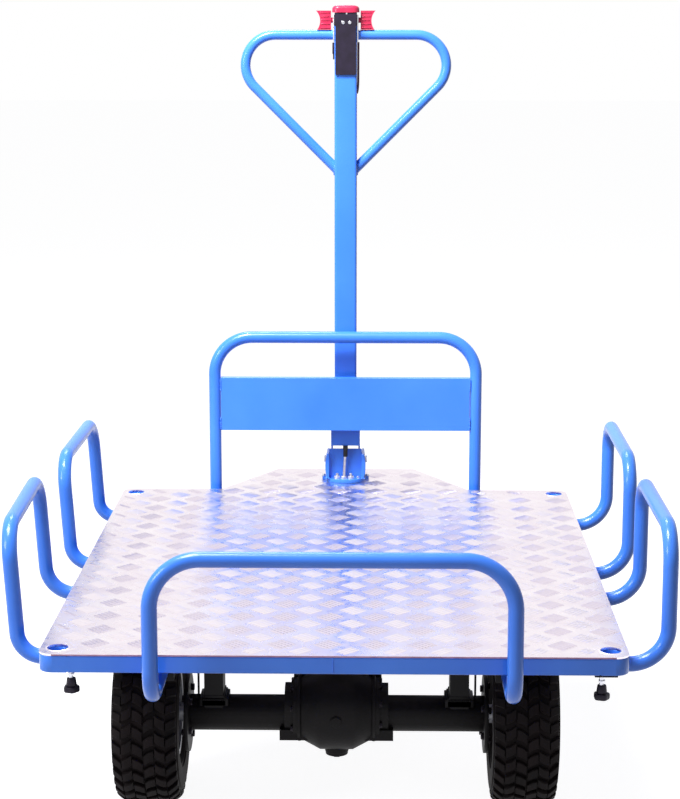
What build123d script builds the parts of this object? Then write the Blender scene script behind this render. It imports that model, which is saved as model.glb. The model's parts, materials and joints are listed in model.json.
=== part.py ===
from build123d import *
import math
import os

# Electric platform truck with a steered tiller, in millimetres.
# X runs across the deck, Y forward to the tiller, Z up from the floor.
# Places along Y are counted from the rear edge of the deck, and finish() moves
# the whole truck so that the middle of its length stands over the origin.

# Deck, frame and general fits
deck_width = 1000.0
deck_length = 1200.0
plate_thickness = 3.0
corner_radius = 25.0
rail_height = 30.0
rail_width = 50.0
beam_spacing = 450.0
cross_member_inset = 100.0
tyre_headroom = 8.0
running_gap = 0.3
shaft_gap = 0.05
cut_overrun = 5.0

# Stake sockets in the deck's corners
socket_bore = 36.0
socket_side_inset = 30.0
socket_end_inset = 36.0

# Hoops of bent tube, whose foot bends are a share of how far the legs stand off
tube_diameter = 27.0
foot_bend_share = 0.85
end_top_bend = 85.0
rear_hoop_width = 604.0
rear_hoop_standoff = 60.0
rear_hoop_height = 183.0
rear_stub_drop = 16.0
front_hoop_width = 592.0
front_hoop_standoff = 45.0
front_hoop_height = 342.0

# Side hoops, whose legs start at a share of the deck's length
side_hoop_pitch_share = 0.325
side_hoop_height = 184.0
side_stub_depth = 55.0
side_top_bend = 60.0
left_rear_start_share = 0.108
left_rear_near_standoff = 54.0
left_rear_far_standoff = 66.0
left_front_start_share = 0.609
left_front_near_standoff = 51.0
left_front_far_standoff = 46.0
left_front_hoop_height = 172.0
left_hoop_lean = 14.0
right_rear_start_share = 0.09
right_rear_hoop_height = 190.0
right_front_start_share = 0.565
right_hoop_standoff = 78.0

# Saddles that hold the hoops' stubs under the frame
saddle_width = 44.0
saddle_floor = 4.0
side_saddle_length = 40.0

# Hand knobs that clamp the side hoops
stud_diameter = 8.0
stud_inset = 14.0
knob_drop = 52.0
knob_diameter = 28.0
knob_height = 26.0
knob_collar_diameter = 16.0
knob_collar_height = 5.0
knob_lobes = 5
knob_lobe_radius = 5.2

# Sheet panel on the front hoop
panel_low = 129.0
panel_high = 250.0
panel_depth = 20.0
panel_sheet = 2.5

# Tongue that carries the steering head
tongue_hoop_gap = 2.5
tongue_tip_width = 320.0
tongue_length = 210.0
tongue_plate = 6.0
tongue_rail_width = 40.0
head_bearing_diameter = 90.0
kingpin_reach = 105.0
kingpin_diameter = 40.0
thrust_ring_diameter = 72.0
thrust_ring_height = 6.0

# Wheels, the same at both ends
tyre_diameter = 334.0
tyre_width = 120.0
tyre_crown_width = 82.0
tyre_shoulder_drop = 15.0
tyre_shoulder_inset = 4.0
tyre_bulge_radius = 116.0
rim_radius = 76.0
rim_width = 90.0
rim_wall = 4.0
rim_lip = 8.0
rim_disc = 8.0
rim_disc_offset = 12.0
hub_radius = 32.0
hub_length = 84.0

# Rear drive axle
rear_axle_y = 300.0
axle_tube_diameter = 66.0
spindle_diameter = 35.0
spindle_nut_diameter = 52.0
spindle_nut_length = 14.0
casing_rise = 9.0
casing_radius = 75.0
casing_half_width = 30.0
casing_shoulder_radius = 56.0
casing_shoulder_half_width = 66.0
casing_flange_half_width = 79.0
casing_collar_radius = 47.0
casing_collar_half_width = 95.0
lower_flange_half_width = 104.0
lower_flange_depth = 84.0
lower_flange_height = 20.0
lower_flange_drop = 39.0
drain_boss_width = 44.0
drain_boss_drop = 88.0
drain_boss_chamfer = 7.0
pinion_case_radius = 62.0
pinion_case_rise = 24.0
motor_radius = 78.0
motor_rise = 38.0
motor_gap = 84.0
motor_length = 190.0
motor_cap_radius = 58.0
motor_cap_length = 16.0

# Brakes, posts and rods of the rear axle
brake_thickness = 7.0
brake_post_gap = 27.5
brake_wheel_gap = 64.0
brake_radius = 72.0
post_width = 35.0
post_depth = 56.0
brake_rod_inset = 15.0
brake_rod_diameter = 4.0

# Battery box and controller under the deck
battery_width = 400.0
battery_length = 330.0
battery_height = 180.0
battery_motor_gap = 35.0
battery_corner = 8.0
strap_width = 40.0
strap_thickness = 3.0
strap_inset = 55.0
controller_side_gap = 35.0
controller_length = 220.0
controller_height = 75.0
controller_fins = 7
controller_fin_height = 18.0
controller_fin_thickness = 6.0

# Steered front axle carrier
front_track = 300.0
front_axle_diameter = 25.0
front_nut_diameter = 42.0
carrier_plate_width = 100.0
carrier_plate_length = 140.0
carrier_plate_thickness = 8.0
carrier_cheek = 10.0
carrier_foot_length = 70.0
carrier_foot_drop = 30.0
carrier_sleeve_diameter = 46.0

# Tiller foot: disc, fork, pin and stop
disc_diameter = 96.0
disc_thickness = 8.0
lug_spacing = 92.0
lug_radius = 8.0
fork_width = 93.0
fork_ear = 9.0
fork_ear_length = 66.0
fork_height = 76.0
fork_ear_height = 66.0
fork_waist = 4.0
fork_web = 4.0
fork_web_inset = 20.0
pivot_height = 50.0
pivot_diameter = 12.0
pivot_head_diameter = 20.0
pivot_head = 3.0
stop_width = 11.0
stop_reach = 36.0
stop_inset = 14.0
stop_nut_radius = 5.0
stop_nut_height = 16.0
stop_rod_diameter = 7.0
stop_rod_inset = 30.0
stop_rod_lean = 4.0

# Tiller column and handle
column_side = 50.0
column_wall = 3.0
column_foot = 85.0
column_rise = 20.0
bracket_spacer = 4.5
bracket_plate = 3.5
bracket_top = 190.0
bracket_eye_radius = 11.0
handle_tube = 22.0
handle_height = 1014.0
handle_straight = 314.0
handle_bend = 67.0
handle_slope_degrees = 45.0
ear_plate = 3.0
ear_plate_drop = 16.0
ear_plate_rise = 44.0
ear_plate_depth = 44.0
head_width = 49.0
head_depth = 60.0
head_height = 29.0
apron_width = 46.0
apron_drop = 107.0
apron_thickness = 5.0
button_width = 60.0
button_depth = 64.0
button_height = 16.0
button_corner = 14.0
button_dome = 7.0
wing_inner_x = 33.0
wing_top_x = 66.0
wing_waist_x = 57.0
wing_low_x = 63.5
wing_low_rise = 11.4
wing_high_rise = 53.0
wing_waist_rise = 32.0
wing_thickness = 18.0
wing_shaft_diameter = 12.0
cable_diameter = 5.0
cable_offset = 3.0
cable_drop = 129.0
cable_turn_drop = 121.0
cable_bend = 10.0

half_width = deck_width / 2
brake_inner_x = (beam_spacing + post_width) / 2 + brake_post_gap
rear_track = 2 * (brake_inner_x + brake_thickness + brake_wheel_gap)
half_tube = handle_tube / 2
tongue_root = (front_hoop_width - tube_diameter) / 2 - tongue_hoop_gap
tube_radius = tube_diameter / 2
wheel_radius = tyre_diameter / 2
axle_z = wheel_radius
deck_base = tyre_diameter + tyre_headroom + rail_height
deck_height = deck_base + plate_thickness
rail_base = deck_base - rail_height
stub_z = rail_base - running_gap - tube_radius
rear_cross = cross_member_inset
front_cross = deck_length - cross_member_inset - rail_width
middle_cross = (deck_length - rail_width) / 2
kingpin_y = deck_length + kingpin_reach
handle_z = deck_height + handle_height
ear_low_z = handle_z - ear_plate_drop
ear_top_z = handle_z + ear_plate_rise
rear_reach = rear_hoop_standoff + tube_radius
front_reach = kingpin_y + wheel_radius
middle_of_length = (front_reach - rear_reach) / 2


def block(low, high):
    """A box from its lowest corner to its highest."""
    sides = [b - a for a, b in zip(low, high)]
    return Pos(*low) * Box(*sides, align=(Align.MIN, Align.MIN, Align.MIN))


def rod(radius, start, end):
    """A round bar between two points."""
    run = Vector(*end) - Vector(*start)
    return extrude(Plane(origin=start, z_dir=run) * Circle(radius), amount=run.length)


def bent_bar(radius, points, bends):
    """A round bar along straight runs with a bend at each inner point."""
    path = FilletPolyline(*points, radius=bends)
    return sweep(Plane(origin=path @ 0, z_dir=path % 0) * Circle(radius), path=path)


def turned(points, centre):
    """A body of revolution about an axle that runs along X, from (radius, x) points."""
    outline = Plane.XY * make_face(Polyline([(x, r) for r, x in points], close=True))
    return Pos(*centre) * revolve(outline, Axis.X)


def pair(shape):
    """The shape and its mirror image across the middle of the truck."""
    return Compound(children=[*shape.solids(), *mirror(shape, about=Plane.YZ).solids()])


def group(shapes):
    """Separate solids that share one node."""
    return Compound(children=[solid for shape in shapes for solid in shape.solids()])


# Each side hoop's side, first leg, both legs' distances off the deck, height and lean
side_hoops = {
    "left_rear": (
        -1,
        left_rear_start_share * deck_length,
        left_rear_near_standoff,
        left_rear_far_standoff,
        side_hoop_height,
        left_hoop_lean,
    ),
    "left_front": (
        -1,
        left_front_start_share * deck_length,
        left_front_near_standoff,
        left_front_far_standoff,
        left_front_hoop_height,
        left_hoop_lean,
    ),
    "right_rear": (
        1,
        right_rear_start_share * deck_length,
        right_hoop_standoff,
        right_hoop_standoff,
        right_rear_hoop_height,
        0,
    ),
    "right_front": (
        1,
        right_front_start_share * deck_length,
        right_hoop_standoff,
        right_hoop_standoff,
        side_hoop_height,
        0,
    ),
}
side_hoop_pitch = side_hoop_pitch_share * deck_length
side_legs = [
    (side, y)
    for side, start, *_ in side_hoops.values()
    for y in (start, start + side_hoop_pitch)
]
socket_places = [
    (sx * (half_width - socket_side_inset), y)
    for sx in (-1, 1)
    for y in (socket_end_inset, deck_length - socket_end_inset)
]


def socket_bores(low, high):
    """The four corner bores between two heights."""
    return [rod(socket_bore / 2, (x, y, low), (x, y, high)) for x, y in socket_places]


def deck_outline():
    """The deck's rounded rectangle, seen from above."""
    middle = Pos(0, deck_length / 2)
    return middle * RectangleRounded(deck_width, deck_length, corner_radius)


def tongue_plan(root, tip, length):
    """The tongue's tapered outline beyond the deck, seen from above."""
    return make_face(
        Polyline(
            (-root, deck_length),
            (root, deck_length),
            (tip, deck_length + length),
            (-tip, deck_length + length),
            close=True,
        )
    )


def kingpin_bore():
    """The bore for the kingpin through the tongue and the plate."""
    low = (0, kingpin_y, rail_base - cut_overrun)
    high = (0, kingpin_y, deck_height + cut_overrun)
    return rod(kingpin_diameter / 2 + shaft_gap, low, high)


def deck_plate():
    sheet = Pos(0, 0, deck_base) * extrude(deck_outline(), amount=plate_thickness)
    return sheet - socket_bores(deck_base - cut_overrun, deck_height + cut_overrun)


def tongue_tread():
    """The tread plate on the tongue, level with the deck's."""
    outline = tongue_plan(tongue_root, tongue_tip_width / 2, tongue_length)
    return Pos(0, 0, deck_base) * extrude(outline, amount=plate_thickness) - kingpin_bore()


def frame_ring():
    """The solid slab from which both kinds of outer rail are taken."""
    slab = Pos(0, 0, rail_base) * extrude(deck_outline(), amount=rail_height)
    low = (rail_width - half_width, rail_width, rail_base - cut_overrun)
    high = (half_width - rail_width, deck_length - rail_width, deck_base + cut_overrun)
    return slab - block(low, high)


def side_rails():
    """Both side rails with the corners and the stake sockets' bores."""
    inner = half_width - rail_width
    low = (inner, -cut_overrun, rail_base - cut_overrun)
    high = (half_width + cut_overrun, deck_length + cut_overrun, deck_height)
    rail = frame_ring() & block(low, high)
    return pair(rail - socket_bores(rail_base - cut_overrun, deck_height))


def end_rails():
    """The rear and front rails between the corners."""
    inner = half_width - rail_width
    rails = []
    for y in (0, deck_length - rail_width):
        rails.append(block((-inner, y, rail_base), (inner, y + rail_width, deck_base)))
    return group(rails)


def cross_members():
    """Two members from side to side, and one between the chassis beams."""
    inner = half_width - rail_width
    beam_inner = (beam_spacing - rail_width) / 2
    spans = [(rear_cross, inner), (middle_cross, beam_inner), (front_cross, inner)]
    return group(
        block((-reach, y, rail_base), (reach, y + rail_width, deck_base)) for y, reach in spans
    )


def chassis_beams():
    """The two lengthwise members that the axle posts hang from."""
    x = (beam_spacing - rail_width) / 2
    low = (x, rear_cross + rail_width, rail_base)
    return pair(block(low, (x + rail_width, front_cross, deck_base)))


def side_hoop(side, start, near_standoff, far_standoff, height, lean):
    """One bent hoop with its stubs under the side rail and its top leaning out."""
    end = start + side_hoop_pitch
    inside = side * (half_width - side_stub_depth)
    near_x = side * (half_width + near_standoff)
    far_x = side * (half_width + far_standoff)
    top = deck_height + height
    points = [
        (inside, start, stub_z),
        (near_x, start, stub_z),
        (near_x + side * lean, start, top),
        (far_x + side * lean, end, top),
        (far_x, end, stub_z),
        (inside, end, stub_z),
    ]
    near_bend = foot_bend_share * near_standoff
    far_bend = foot_bend_share * far_standoff
    return bent_bar(tube_radius, points, [near_bend, side_top_bend, side_top_bend, far_bend])


def end_hoop(width, height, leg_y, standoff, stub_end, foot_z):
    """One bent hoop across an end of the deck, with stubs under the frame."""
    x = width / 2
    top = deck_height + height
    points = [
        (-x, stub_end, foot_z),
        (-x, leg_y, foot_z),
        (-x, leg_y, top),
        (x, leg_y, top),
        (x, leg_y, foot_z),
        (x, stub_end, foot_z),
    ]
    foot_bend = foot_bend_share * standoff
    return bent_bar(tube_radius, points, [foot_bend, end_top_bend, end_top_bend, foot_bend])


def stub_saddle(length, drop=0):
    """A block under the frame for a stub along Y, open on top where the stub lies close."""
    bore = tube_radius + running_gap
    centre = stub_z - drop
    half = saddle_width / 2
    reach = length / 2
    far = reach + cut_overrun
    body = block((-half, -reach, centre - bore - saddle_floor), (half, reach, rail_base))
    body -= rod(bore, (0, -far, centre), (0, far, centre))
    if drop:
        return body
    return body - block((-bore, -far, centre), (bore, far, rail_base + cut_overrun))


def hoop_saddles():
    """The end hoops' saddles under the cross members and the side hoops' under the rails."""
    rear_saddle = Pos(0, rear_cross + rail_width / 2, 0) * stub_saddle(rail_width, rear_stub_drop)
    front_saddle = Pos(0, front_cross + rail_width / 2, 0) * stub_saddle(rail_width)
    saddles = []
    for side in (-1, 1):
        saddles.append(Pos(side * rear_hoop_width / 2, 0, 0) * rear_saddle)
        saddles.append(Pos(side * front_hoop_width / 2, 0, 0) * front_saddle)
    side_saddle = Rot(0, 0, 90) * stub_saddle(side_saddle_length)
    for side, y in side_legs:
        x = side * (half_width - rail_width + side_saddle_length / 2)
        hole = rod(
            stud_diameter / 2 + running_gap,
            (side * stud_x, y, knob_top),
            (side * stud_x, y, stub_z),
        )
        saddles.append(Pos(x, y, 0) * side_saddle - hole)
    return group(saddles)


def front_panel():
    """A folded sheet between the front hoop's legs, with a lip above and below."""
    x = front_hoop_width / 2 - tube_radius - running_gap
    low = deck_height + panel_low
    high = deck_height + panel_high
    near = deck_length + front_hoop_standoff - panel_depth / 2
    tray = block((-x, near, low), (x, near + panel_depth, high))
    hollow_low = (-x - cut_overrun, near + panel_sheet, low + panel_sheet)
    hollow_high = (x + cut_overrun, near + panel_depth + cut_overrun, high - panel_sheet)
    return tray - block(hollow_low, hollow_high)


stud_x = half_width - rail_width + stud_inset
stud_top = stub_z - tube_radius - running_gap
knob_top = rail_base - knob_drop
knob_places = [(side * stud_x, y) for side, y in side_legs]


def knob_studs():
    """The threaded studs that press on the side hoops' stubs."""
    radius = stud_diameter / 2
    return group(rod(radius, (x, y, knob_top), (x, y, stud_top)) for x, y in knob_places)


def hoop_knobs():
    """A lobed hand knob on each stud."""
    low = knob_top - knob_height
    ring = knob_diameter / 2 - knob_lobe_radius
    knob = rod(ring, (0, 0, low), (0, 0, knob_top - knob_collar_height))
    for turn in range(knob_lobes):
        angle = math.tau * turn / knob_lobes
        x = ring * math.cos(angle)
        y = ring * math.sin(angle)
        knob += rod(knob_lobe_radius, (x, y, low), (x, y, knob_top - knob_collar_height))
    collar_foot = (0, 0, knob_top - knob_collar_height)
    knob += rod(knob_collar_diameter / 2, collar_foot, (0, 0, knob_top))
    return group(Pos(x, y, 0) * knob for x, y in knob_places)


def tongue():
    """Tapered rails, a plate and the bearing tube under the tread plate, welded as one."""
    tip = tongue_tip_width / 2
    outline = tongue_plan(tongue_root, tip, tongue_length)
    body = Pos(0, 0, rail_base) * extrude(outline, amount=rail_height)
    inner = tongue_plan(
        tongue_root - tongue_rail_width, tip - tongue_rail_width, tongue_length - tongue_rail_width
    )
    pocket = extrude(inner, amount=rail_height - tongue_plate + cut_overrun)
    body -= Pos(0, 0, rail_base - cut_overrun) * pocket
    head = rod(head_bearing_diameter / 2, (0, kingpin_y, rail_base), (0, kingpin_y, deck_base))
    return body + head - kingpin_bore()


ring_top = rail_base - running_gap
ring_base = ring_top - thrust_ring_height
disc_base = deck_height + running_gap


def kingpin():
    """The steering pin from the carrier's plate up to the tiller's disc."""
    return rod(kingpin_diameter / 2, (0, kingpin_y, ring_base), (0, kingpin_y, disc_base))


def thrust_ring():
    """The bearing ring between the tongue and the carrier."""
    low = (0, kingpin_y, ring_base)
    high = (0, kingpin_y, ring_top)
    ring = rod(thrust_ring_diameter / 2, low, high)
    bore_low = (0, kingpin_y, ring_base - cut_overrun)
    return ring - rod(kingpin_diameter / 2, bore_low, (0, kingpin_y, ring_top + cut_overrun))


def axle_carrier():
    """Top plate, two tapered cheeks and a sleeve around the front axle."""
    top = ring_base
    plate_base = top - carrier_plate_thickness
    half_x = carrier_plate_width / 2
    half_y = carrier_plate_length / 2
    half_foot = carrier_foot_length / 2
    foot_z = axle_z - carrier_foot_drop
    plate = block((-half_x, kingpin_y - half_y, plate_base), (half_x, kingpin_y + half_y, top))
    cheek_plane = Plane(origin=(half_x - carrier_cheek, kingpin_y, 0), x_dir=(0, 1, 0), z_dir=(1, 0, 0))
    outline = Polyline(
        (-half_y, plate_base),
        (half_y, plate_base),
        (half_foot, foot_z),
        (-half_foot, foot_z),
        close=True,
    )
    cheek = extrude(cheek_plane * make_face(outline), amount=carrier_cheek)
    sleeve_end = half_x - carrier_cheek
    sleeve_start = (-sleeve_end, kingpin_y, axle_z)
    sleeve = rod(carrier_sleeve_diameter / 2, sleeve_start, (sleeve_end, kingpin_y, axle_z))
    body = plate + cheek + mirror(cheek, about=Plane.YZ) + sleeve
    bore_start = (-half_x - cut_overrun, kingpin_y, axle_z)
    bore_end = (half_x + cut_overrun, kingpin_y, axle_z)
    return body - rod(front_axle_diameter / 2, bore_start, bore_end)


def spindle(x_inner, x_hub, diameter, nut_diameter, y):
    """A wheel's axle stub from its support out through the hub, with its nut."""
    hub_end = x_hub + hub_length / 2 + running_gap
    stub = rod(diameter / 2, (x_inner, y, axle_z), (hub_end, y, axle_z))
    nut_end = hub_end + spindle_nut_length
    return stub + rod(nut_diameter / 2, (hub_end, y, axle_z), (nut_end, y, axle_z))


def front_axle():
    """One bar through the carrier with a nut outside each hub."""
    half = spindle(0, front_track / 2, front_axle_diameter, front_nut_diameter, kingpin_y)
    spacer_start = (carrier_plate_width / 2, kingpin_y, axle_z)
    spacer_end = (front_track / 2 - hub_length / 2 - running_gap, kingpin_y, axle_z)
    half += rod(front_axle_diameter, spacer_start, spacer_end)
    return half + mirror(half, about=Plane.YZ)


def rim(bore_diameter):
    """A pressed rim with its disc and hub, centred on its own axle."""
    bore = bore_diameter / 2 + shaft_gap
    half = rim_width / 2
    half_hub = hub_length / 2
    seat = rim_radius
    inside = rim_radius - rim_wall
    edge = rim_radius + rim_lip
    disc_out = rim_disc_offset + rim_disc
    return turned(
        [
            (bore, -half_hub),
            (hub_radius, -half_hub),
            (hub_radius, rim_disc_offset),
            (inside, rim_disc_offset),
            (inside, -half - rim_wall),
            (edge, -half - rim_wall),
            (edge, -half),
            (seat, -half),
            (seat, half),
            (edge, half),
            (edge, half + rim_wall),
            (inside, half + rim_wall),
            (inside, disc_out),
            (hub_radius, disc_out),
            (hub_radius, half_hub),
            (bore, half_hub),
        ],
        (0, 0, 0),
    )


def tyre():
    """A low pneumatic tyre, centred on its own axle."""
    bead = rim_radius + running_gap
    half_bead = rim_width / 2 - running_gap
    lip_top = rim_radius + rim_lip + running_gap
    half = tyre_width / 2
    shoulder = (half - tyre_shoulder_inset, wheel_radius - tyre_shoulder_drop)
    crown = tyre_crown_width / 2
    seat = Line((half_bead, bead), (half_bead, lip_top))
    flank = ThreePointArc((half_bead, lip_top), (half, tyre_bulge_radius), shoulder)
    edge = Line(shoulder, (crown, wheel_radius))
    sides = [seat, flank, edge]
    outline = [
        *sides,
        Line((crown, wheel_radius), (-crown, wheel_radius)),
        *[mirror(side, about=Plane.YZ) for side in sides],
        Line((-half_bead, bead), (half_bead, bead)),
    ]
    return revolve(make_face(outline), Axis.X)


def axle_housing():
    """Differential casing, axle tubes, pinion case and drain boss in one casting."""
    centre = (0, rear_axle_y, axle_z + casing_rise)
    half_profile = [
        (casing_radius, casing_half_width),
        (casing_shoulder_radius, casing_shoulder_half_width),
        (casing_shoulder_radius, casing_flange_half_width),
        (casing_collar_radius, casing_flange_half_width),
        (casing_collar_radius, casing_collar_half_width),
        (0, casing_collar_half_width),
    ]
    left = [(r, -x) for r, x in reversed(half_profile)]
    body = turned([*left, *half_profile], centre)
    tube_end = (brake_inner_x, rear_axle_y, axle_z)
    body += rod(axle_tube_diameter / 2, (-brake_inner_x, rear_axle_y, axle_z), tube_end)
    pinion_z = axle_z + pinion_case_rise
    pinion_end = (0, rear_axle_y + motor_gap, pinion_z)
    body += rod(pinion_case_radius, (0, rear_axle_y, pinion_z), pinion_end)
    boss_low = axle_z + casing_rise - drain_boss_drop
    boss = rod(drain_boss_width / 2, (0, rear_axle_y, boss_low), centre)
    boss = chamfer(boss.edges().sort_by(Axis.Z)[0], drain_boss_chamfer)
    flange_base = axle_z - lower_flange_drop
    flange_near = rear_axle_y - lower_flange_depth / 2
    flange = block(
        (-lower_flange_half_width, flange_near, flange_base),
        (lower_flange_half_width, flange_near + lower_flange_depth, flange_base + lower_flange_height),
    )
    return body + boss + flange


def rear_spindles():
    """The shaft ends that carry the driven wheels."""
    start = brake_inner_x + brake_thickness
    return pair(
        spindle(start, rear_track / 2, spindle_diameter, spindle_nut_diameter, rear_axle_y)
    )


def drive_motor():
    """A round motor bolted in front of the pinion case, with a stepped end cap."""
    z = axle_z + motor_rise
    start = rear_axle_y + motor_gap
    end = start + motor_length
    body = rod(motor_radius, (0, start, z), (0, end, z))
    return body + rod(motor_cap_radius, (0, end, z), (0, end + motor_cap_length, z))


def brake_plates():
    """The two round back plates on the ends of the axle tubes."""
    start = (brake_inner_x, rear_axle_y, axle_z)
    end = (brake_inner_x + brake_thickness, rear_axle_y, axle_z)
    return pair(rod(brake_radius, start, end))


def axle_posts():
    """Two posts from the chassis beams down onto the axle tubes."""
    x = beam_spacing / 2
    post = block(
        (x - post_width / 2, rear_axle_y - post_depth / 2, axle_z),
        (x + post_width / 2, rear_axle_y + post_depth / 2, rail_base),
    )
    bar_start = (x - post_width, rear_axle_y, axle_z)
    bar_end = (x + post_width, rear_axle_y, axle_z)
    return pair(post - rod(axle_tube_diameter / 2, bar_start, bar_end))


def brake_rods():
    """Thin pull rods from the frame down to the axle tubes."""
    x = brake_inner_x - brake_rod_inset
    foot = (x, rear_axle_y, axle_z)
    bar = rod(brake_rod_diameter / 2, foot, (x, rear_axle_y, rail_base))
    bar_start = (x - axle_tube_diameter, rear_axle_y, axle_z)
    bar_end = (x + axle_tube_diameter, rear_axle_y, axle_z)
    return pair(bar - rod(axle_tube_diameter / 2, bar_start, bar_end))


battery_top = rail_base - running_gap
battery_base = battery_top - battery_height
motor_end = rear_axle_y + motor_gap + motor_length + motor_cap_length
battery_start = motor_end + battery_motor_gap
battery_end = battery_start + battery_length


def battery_box():
    """The battery box, closed, hung under the chassis beams."""
    half = battery_width / 2
    box = block((-half, battery_start, battery_base), (half, battery_end, battery_top))
    return fillet(box.edges().filter_by(Axis.Z), battery_corner)


def battery_straps():
    """Two sheet straps that pass under the box and up to the beams."""
    inner = battery_width / 2 + running_gap
    outer = inner + strap_thickness
    floor = battery_base - running_gap
    straps = []
    for y in (battery_start + strap_inset, battery_end - strap_inset - strap_width):
        far = y + strap_width
        strap = block((-outer, y, floor - strap_thickness), (outer, far, rail_base))
        low = (-inner, y - cut_overrun, floor)
        strap -= block(low, (inner, far + cut_overrun, rail_base + cut_overrun))
        straps.append(strap)
    return group(straps)


def controller_box():
    """The motor controller with its cooling fins, in the bay left of the chassis beams."""
    left = rail_width + controller_side_gap - half_width
    right = -(beam_spacing + rail_width) / 2 - controller_side_gap
    middle = (rear_axle_y + wheel_radius + front_cross) / 2
    start = middle - controller_length / 2
    end = middle + controller_length / 2
    base = deck_base - controller_height
    box = block((left, start, base), (right, end, deck_base))
    pitch = (right - left - controller_fin_thickness) / (controller_fins - 1)
    for place in range(controller_fins):
        x = left + place * pitch
        low = (x, start, base - controller_fin_height)
        box += block(low, (x + controller_fin_thickness, end, base))
    return box


disc_top = disc_base + disc_thickness


def base_disc():
    """The tiller's disc with a bolting lug at each side."""
    disc = rod(disc_diameter / 2, (0, kingpin_y, disc_base), (0, kingpin_y, disc_top))
    for side in (-1, 1):
        x = side * lug_spacing / 2
        disc += rod(lug_radius, (x, kingpin_y, disc_base), (x, kingpin_y, disc_top))
    return disc


pivot_z = deck_height + pivot_height


def tiller_fork():
    """Two bulged ears with a web set back between them, open towards the front."""
    top = deck_height + fork_ear_height
    web_top = deck_height + fork_height
    half = fork_width / 2
    half_length = fork_ear_length / 2
    waist = half - fork_waist
    profile = make_face(
        [
            Line((half - fork_ear, disc_top), (waist, disc_top)),
            ThreePointArc((waist, disc_top), (half, (disc_top + top) / 2), (waist, top)),
            Line((waist, top), (half - fork_ear, top)),
            Line((half - fork_ear, top), (half - fork_ear, disc_top)),
        ]
    )
    ear_plane = Plane(origin=(0, kingpin_y + half_length, 0), x_dir=(1, 0, 0), z_dir=(0, -1, 0))
    ear = extrude(ear_plane * profile, amount=fork_ear_length)
    web_near = kingpin_y - fork_web_inset
    web_half = half - fork_ear
    web = block((-web_half, web_near, disc_top), (web_half, web_near + fork_web, web_top))
    fork = ear + mirror(ear, about=Plane.YZ) + web
    bore_start = (-half - cut_overrun, kingpin_y, pivot_z)
    bore_end = (half + cut_overrun, kingpin_y, pivot_z)
    return fork - rod(pivot_diameter / 2, bore_start, bore_end)


def pivot_pin():
    """The headed pin that the tiller tips on."""
    half = fork_width / 2
    pin = rod(pivot_diameter / 2, (-half, kingpin_y, pivot_z), (half, kingpin_y, pivot_z))
    for side in (-1, 1):
        start = (side * half, kingpin_y, pivot_z)
        pin += rod(pivot_head_diameter / 2, start, (side * (half + pivot_head), kingpin_y, pivot_z))
    return pin


column_foot_z = deck_height + column_foot
column_top_z = handle_z + column_rise
stop_base = deck_height + fork_height
stop_top = column_foot_z - running_gap


def tiller_stop():
    """The buffer over the fork's web that the upright column rests on, with its nut."""
    half = stop_width / 2
    low = (-half, kingpin_y - stop_reach, stop_base)
    pad = block(low, (half, kingpin_y - stop_inset, stop_top))
    y = kingpin_y - stop_rod_inset
    return pad + rod(stop_nut_radius, (0, y, stop_base - stop_nut_height), (0, y, stop_base))


def stop_rod():
    """The bright rod that leans from the disc up to the buffer's nut."""
    y = kingpin_y - stop_rod_inset
    bar = rod(stop_rod_diameter / 2, (-stop_rod_lean, y, disc_base), (0, y, stop_base))
    reach = stop_rod_lean + stop_rod_diameter
    top = stop_base - stop_nut_height
    return bar & block((-reach, y - reach, disc_top), (reach, y + reach, top))


def tiller_column():
    """Square tube in a bracket whose side plates reach down to the pivot."""
    half = column_side / 2
    inner = half - column_wall
    tube = block(
        (-half, kingpin_y - half, column_foot_z), (half, kingpin_y + half, column_top_z)
    )
    tube -= block(
        (-inner, kingpin_y - inner, column_foot_z + column_wall),
        (inner, kingpin_y + inner, column_top_z - column_wall),
    )
    plate_inner = half + bracket_spacer
    plate_outer = plate_inner + bracket_plate
    top = deck_height + bracket_top
    near = kingpin_y - half
    far = kingpin_y + half
    eye_near = kingpin_y - bracket_eye_radius
    side = rod(
        bracket_eye_radius, (plate_inner, kingpin_y, pivot_z), (plate_outer, kingpin_y, pivot_z)
    )
    side += block((plate_inner, eye_near, pivot_z), (plate_outer, far, column_foot_z))
    side += block((plate_inner, near, column_foot_z), (plate_outer, far, top))
    side += block((half, eye_near, column_foot_z), (plate_inner, far, top))
    bore_end = (plate_outer + cut_overrun, kingpin_y, pivot_z)
    side -= rod(pivot_diameter / 2 + shaft_gap, (0, kingpin_y, pivot_z), bore_end)
    back = block((-plate_outer, near - bracket_plate, column_foot_z), (plate_outer, near, top))
    return tube + side + mirror(side, about=Plane.YZ) + back


ear_plate_outer = column_side / 2 + ear_plate


def handle_loop():
    """The handle: a straight top bar, round ends and slanted braces to the column."""
    slope = math.radians(handle_slope_degrees)
    corner = handle_straight / 2 + handle_bend * math.tan((math.pi - slope) / 2)
    foot_z = handle_z - corner * math.tan(slope)
    points = [
        (0, kingpin_y, foot_z),
        (corner, kingpin_y, handle_z),
        (0, kingpin_y, handle_z),
    ]
    half_loop = bent_bar(half_tube, points, [handle_bend])
    half = column_side / 2
    keep_clear = block(
        (-half - handle_tube, kingpin_y - half, deck_height),
        (half, kingpin_y + half, column_top_z),
    )
    half_loop -= keep_clear
    ear_low = (-half, kingpin_y - half, ear_low_z)
    half_loop -= block(ear_low, (ear_plate_outer, kingpin_y + half, ear_top_z))
    return pair(half_loop)


def handle_ears():
    """The plates that tie the top bar to the column and flank the head."""
    half = column_side / 2
    half_depth = ear_plate_depth / 2
    low = (half, kingpin_y - half_depth, ear_low_z)
    return pair(block(low, (ear_plate_outer, kingpin_y + half_depth, ear_top_z)))


head_top_z = column_top_z + head_height


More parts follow.
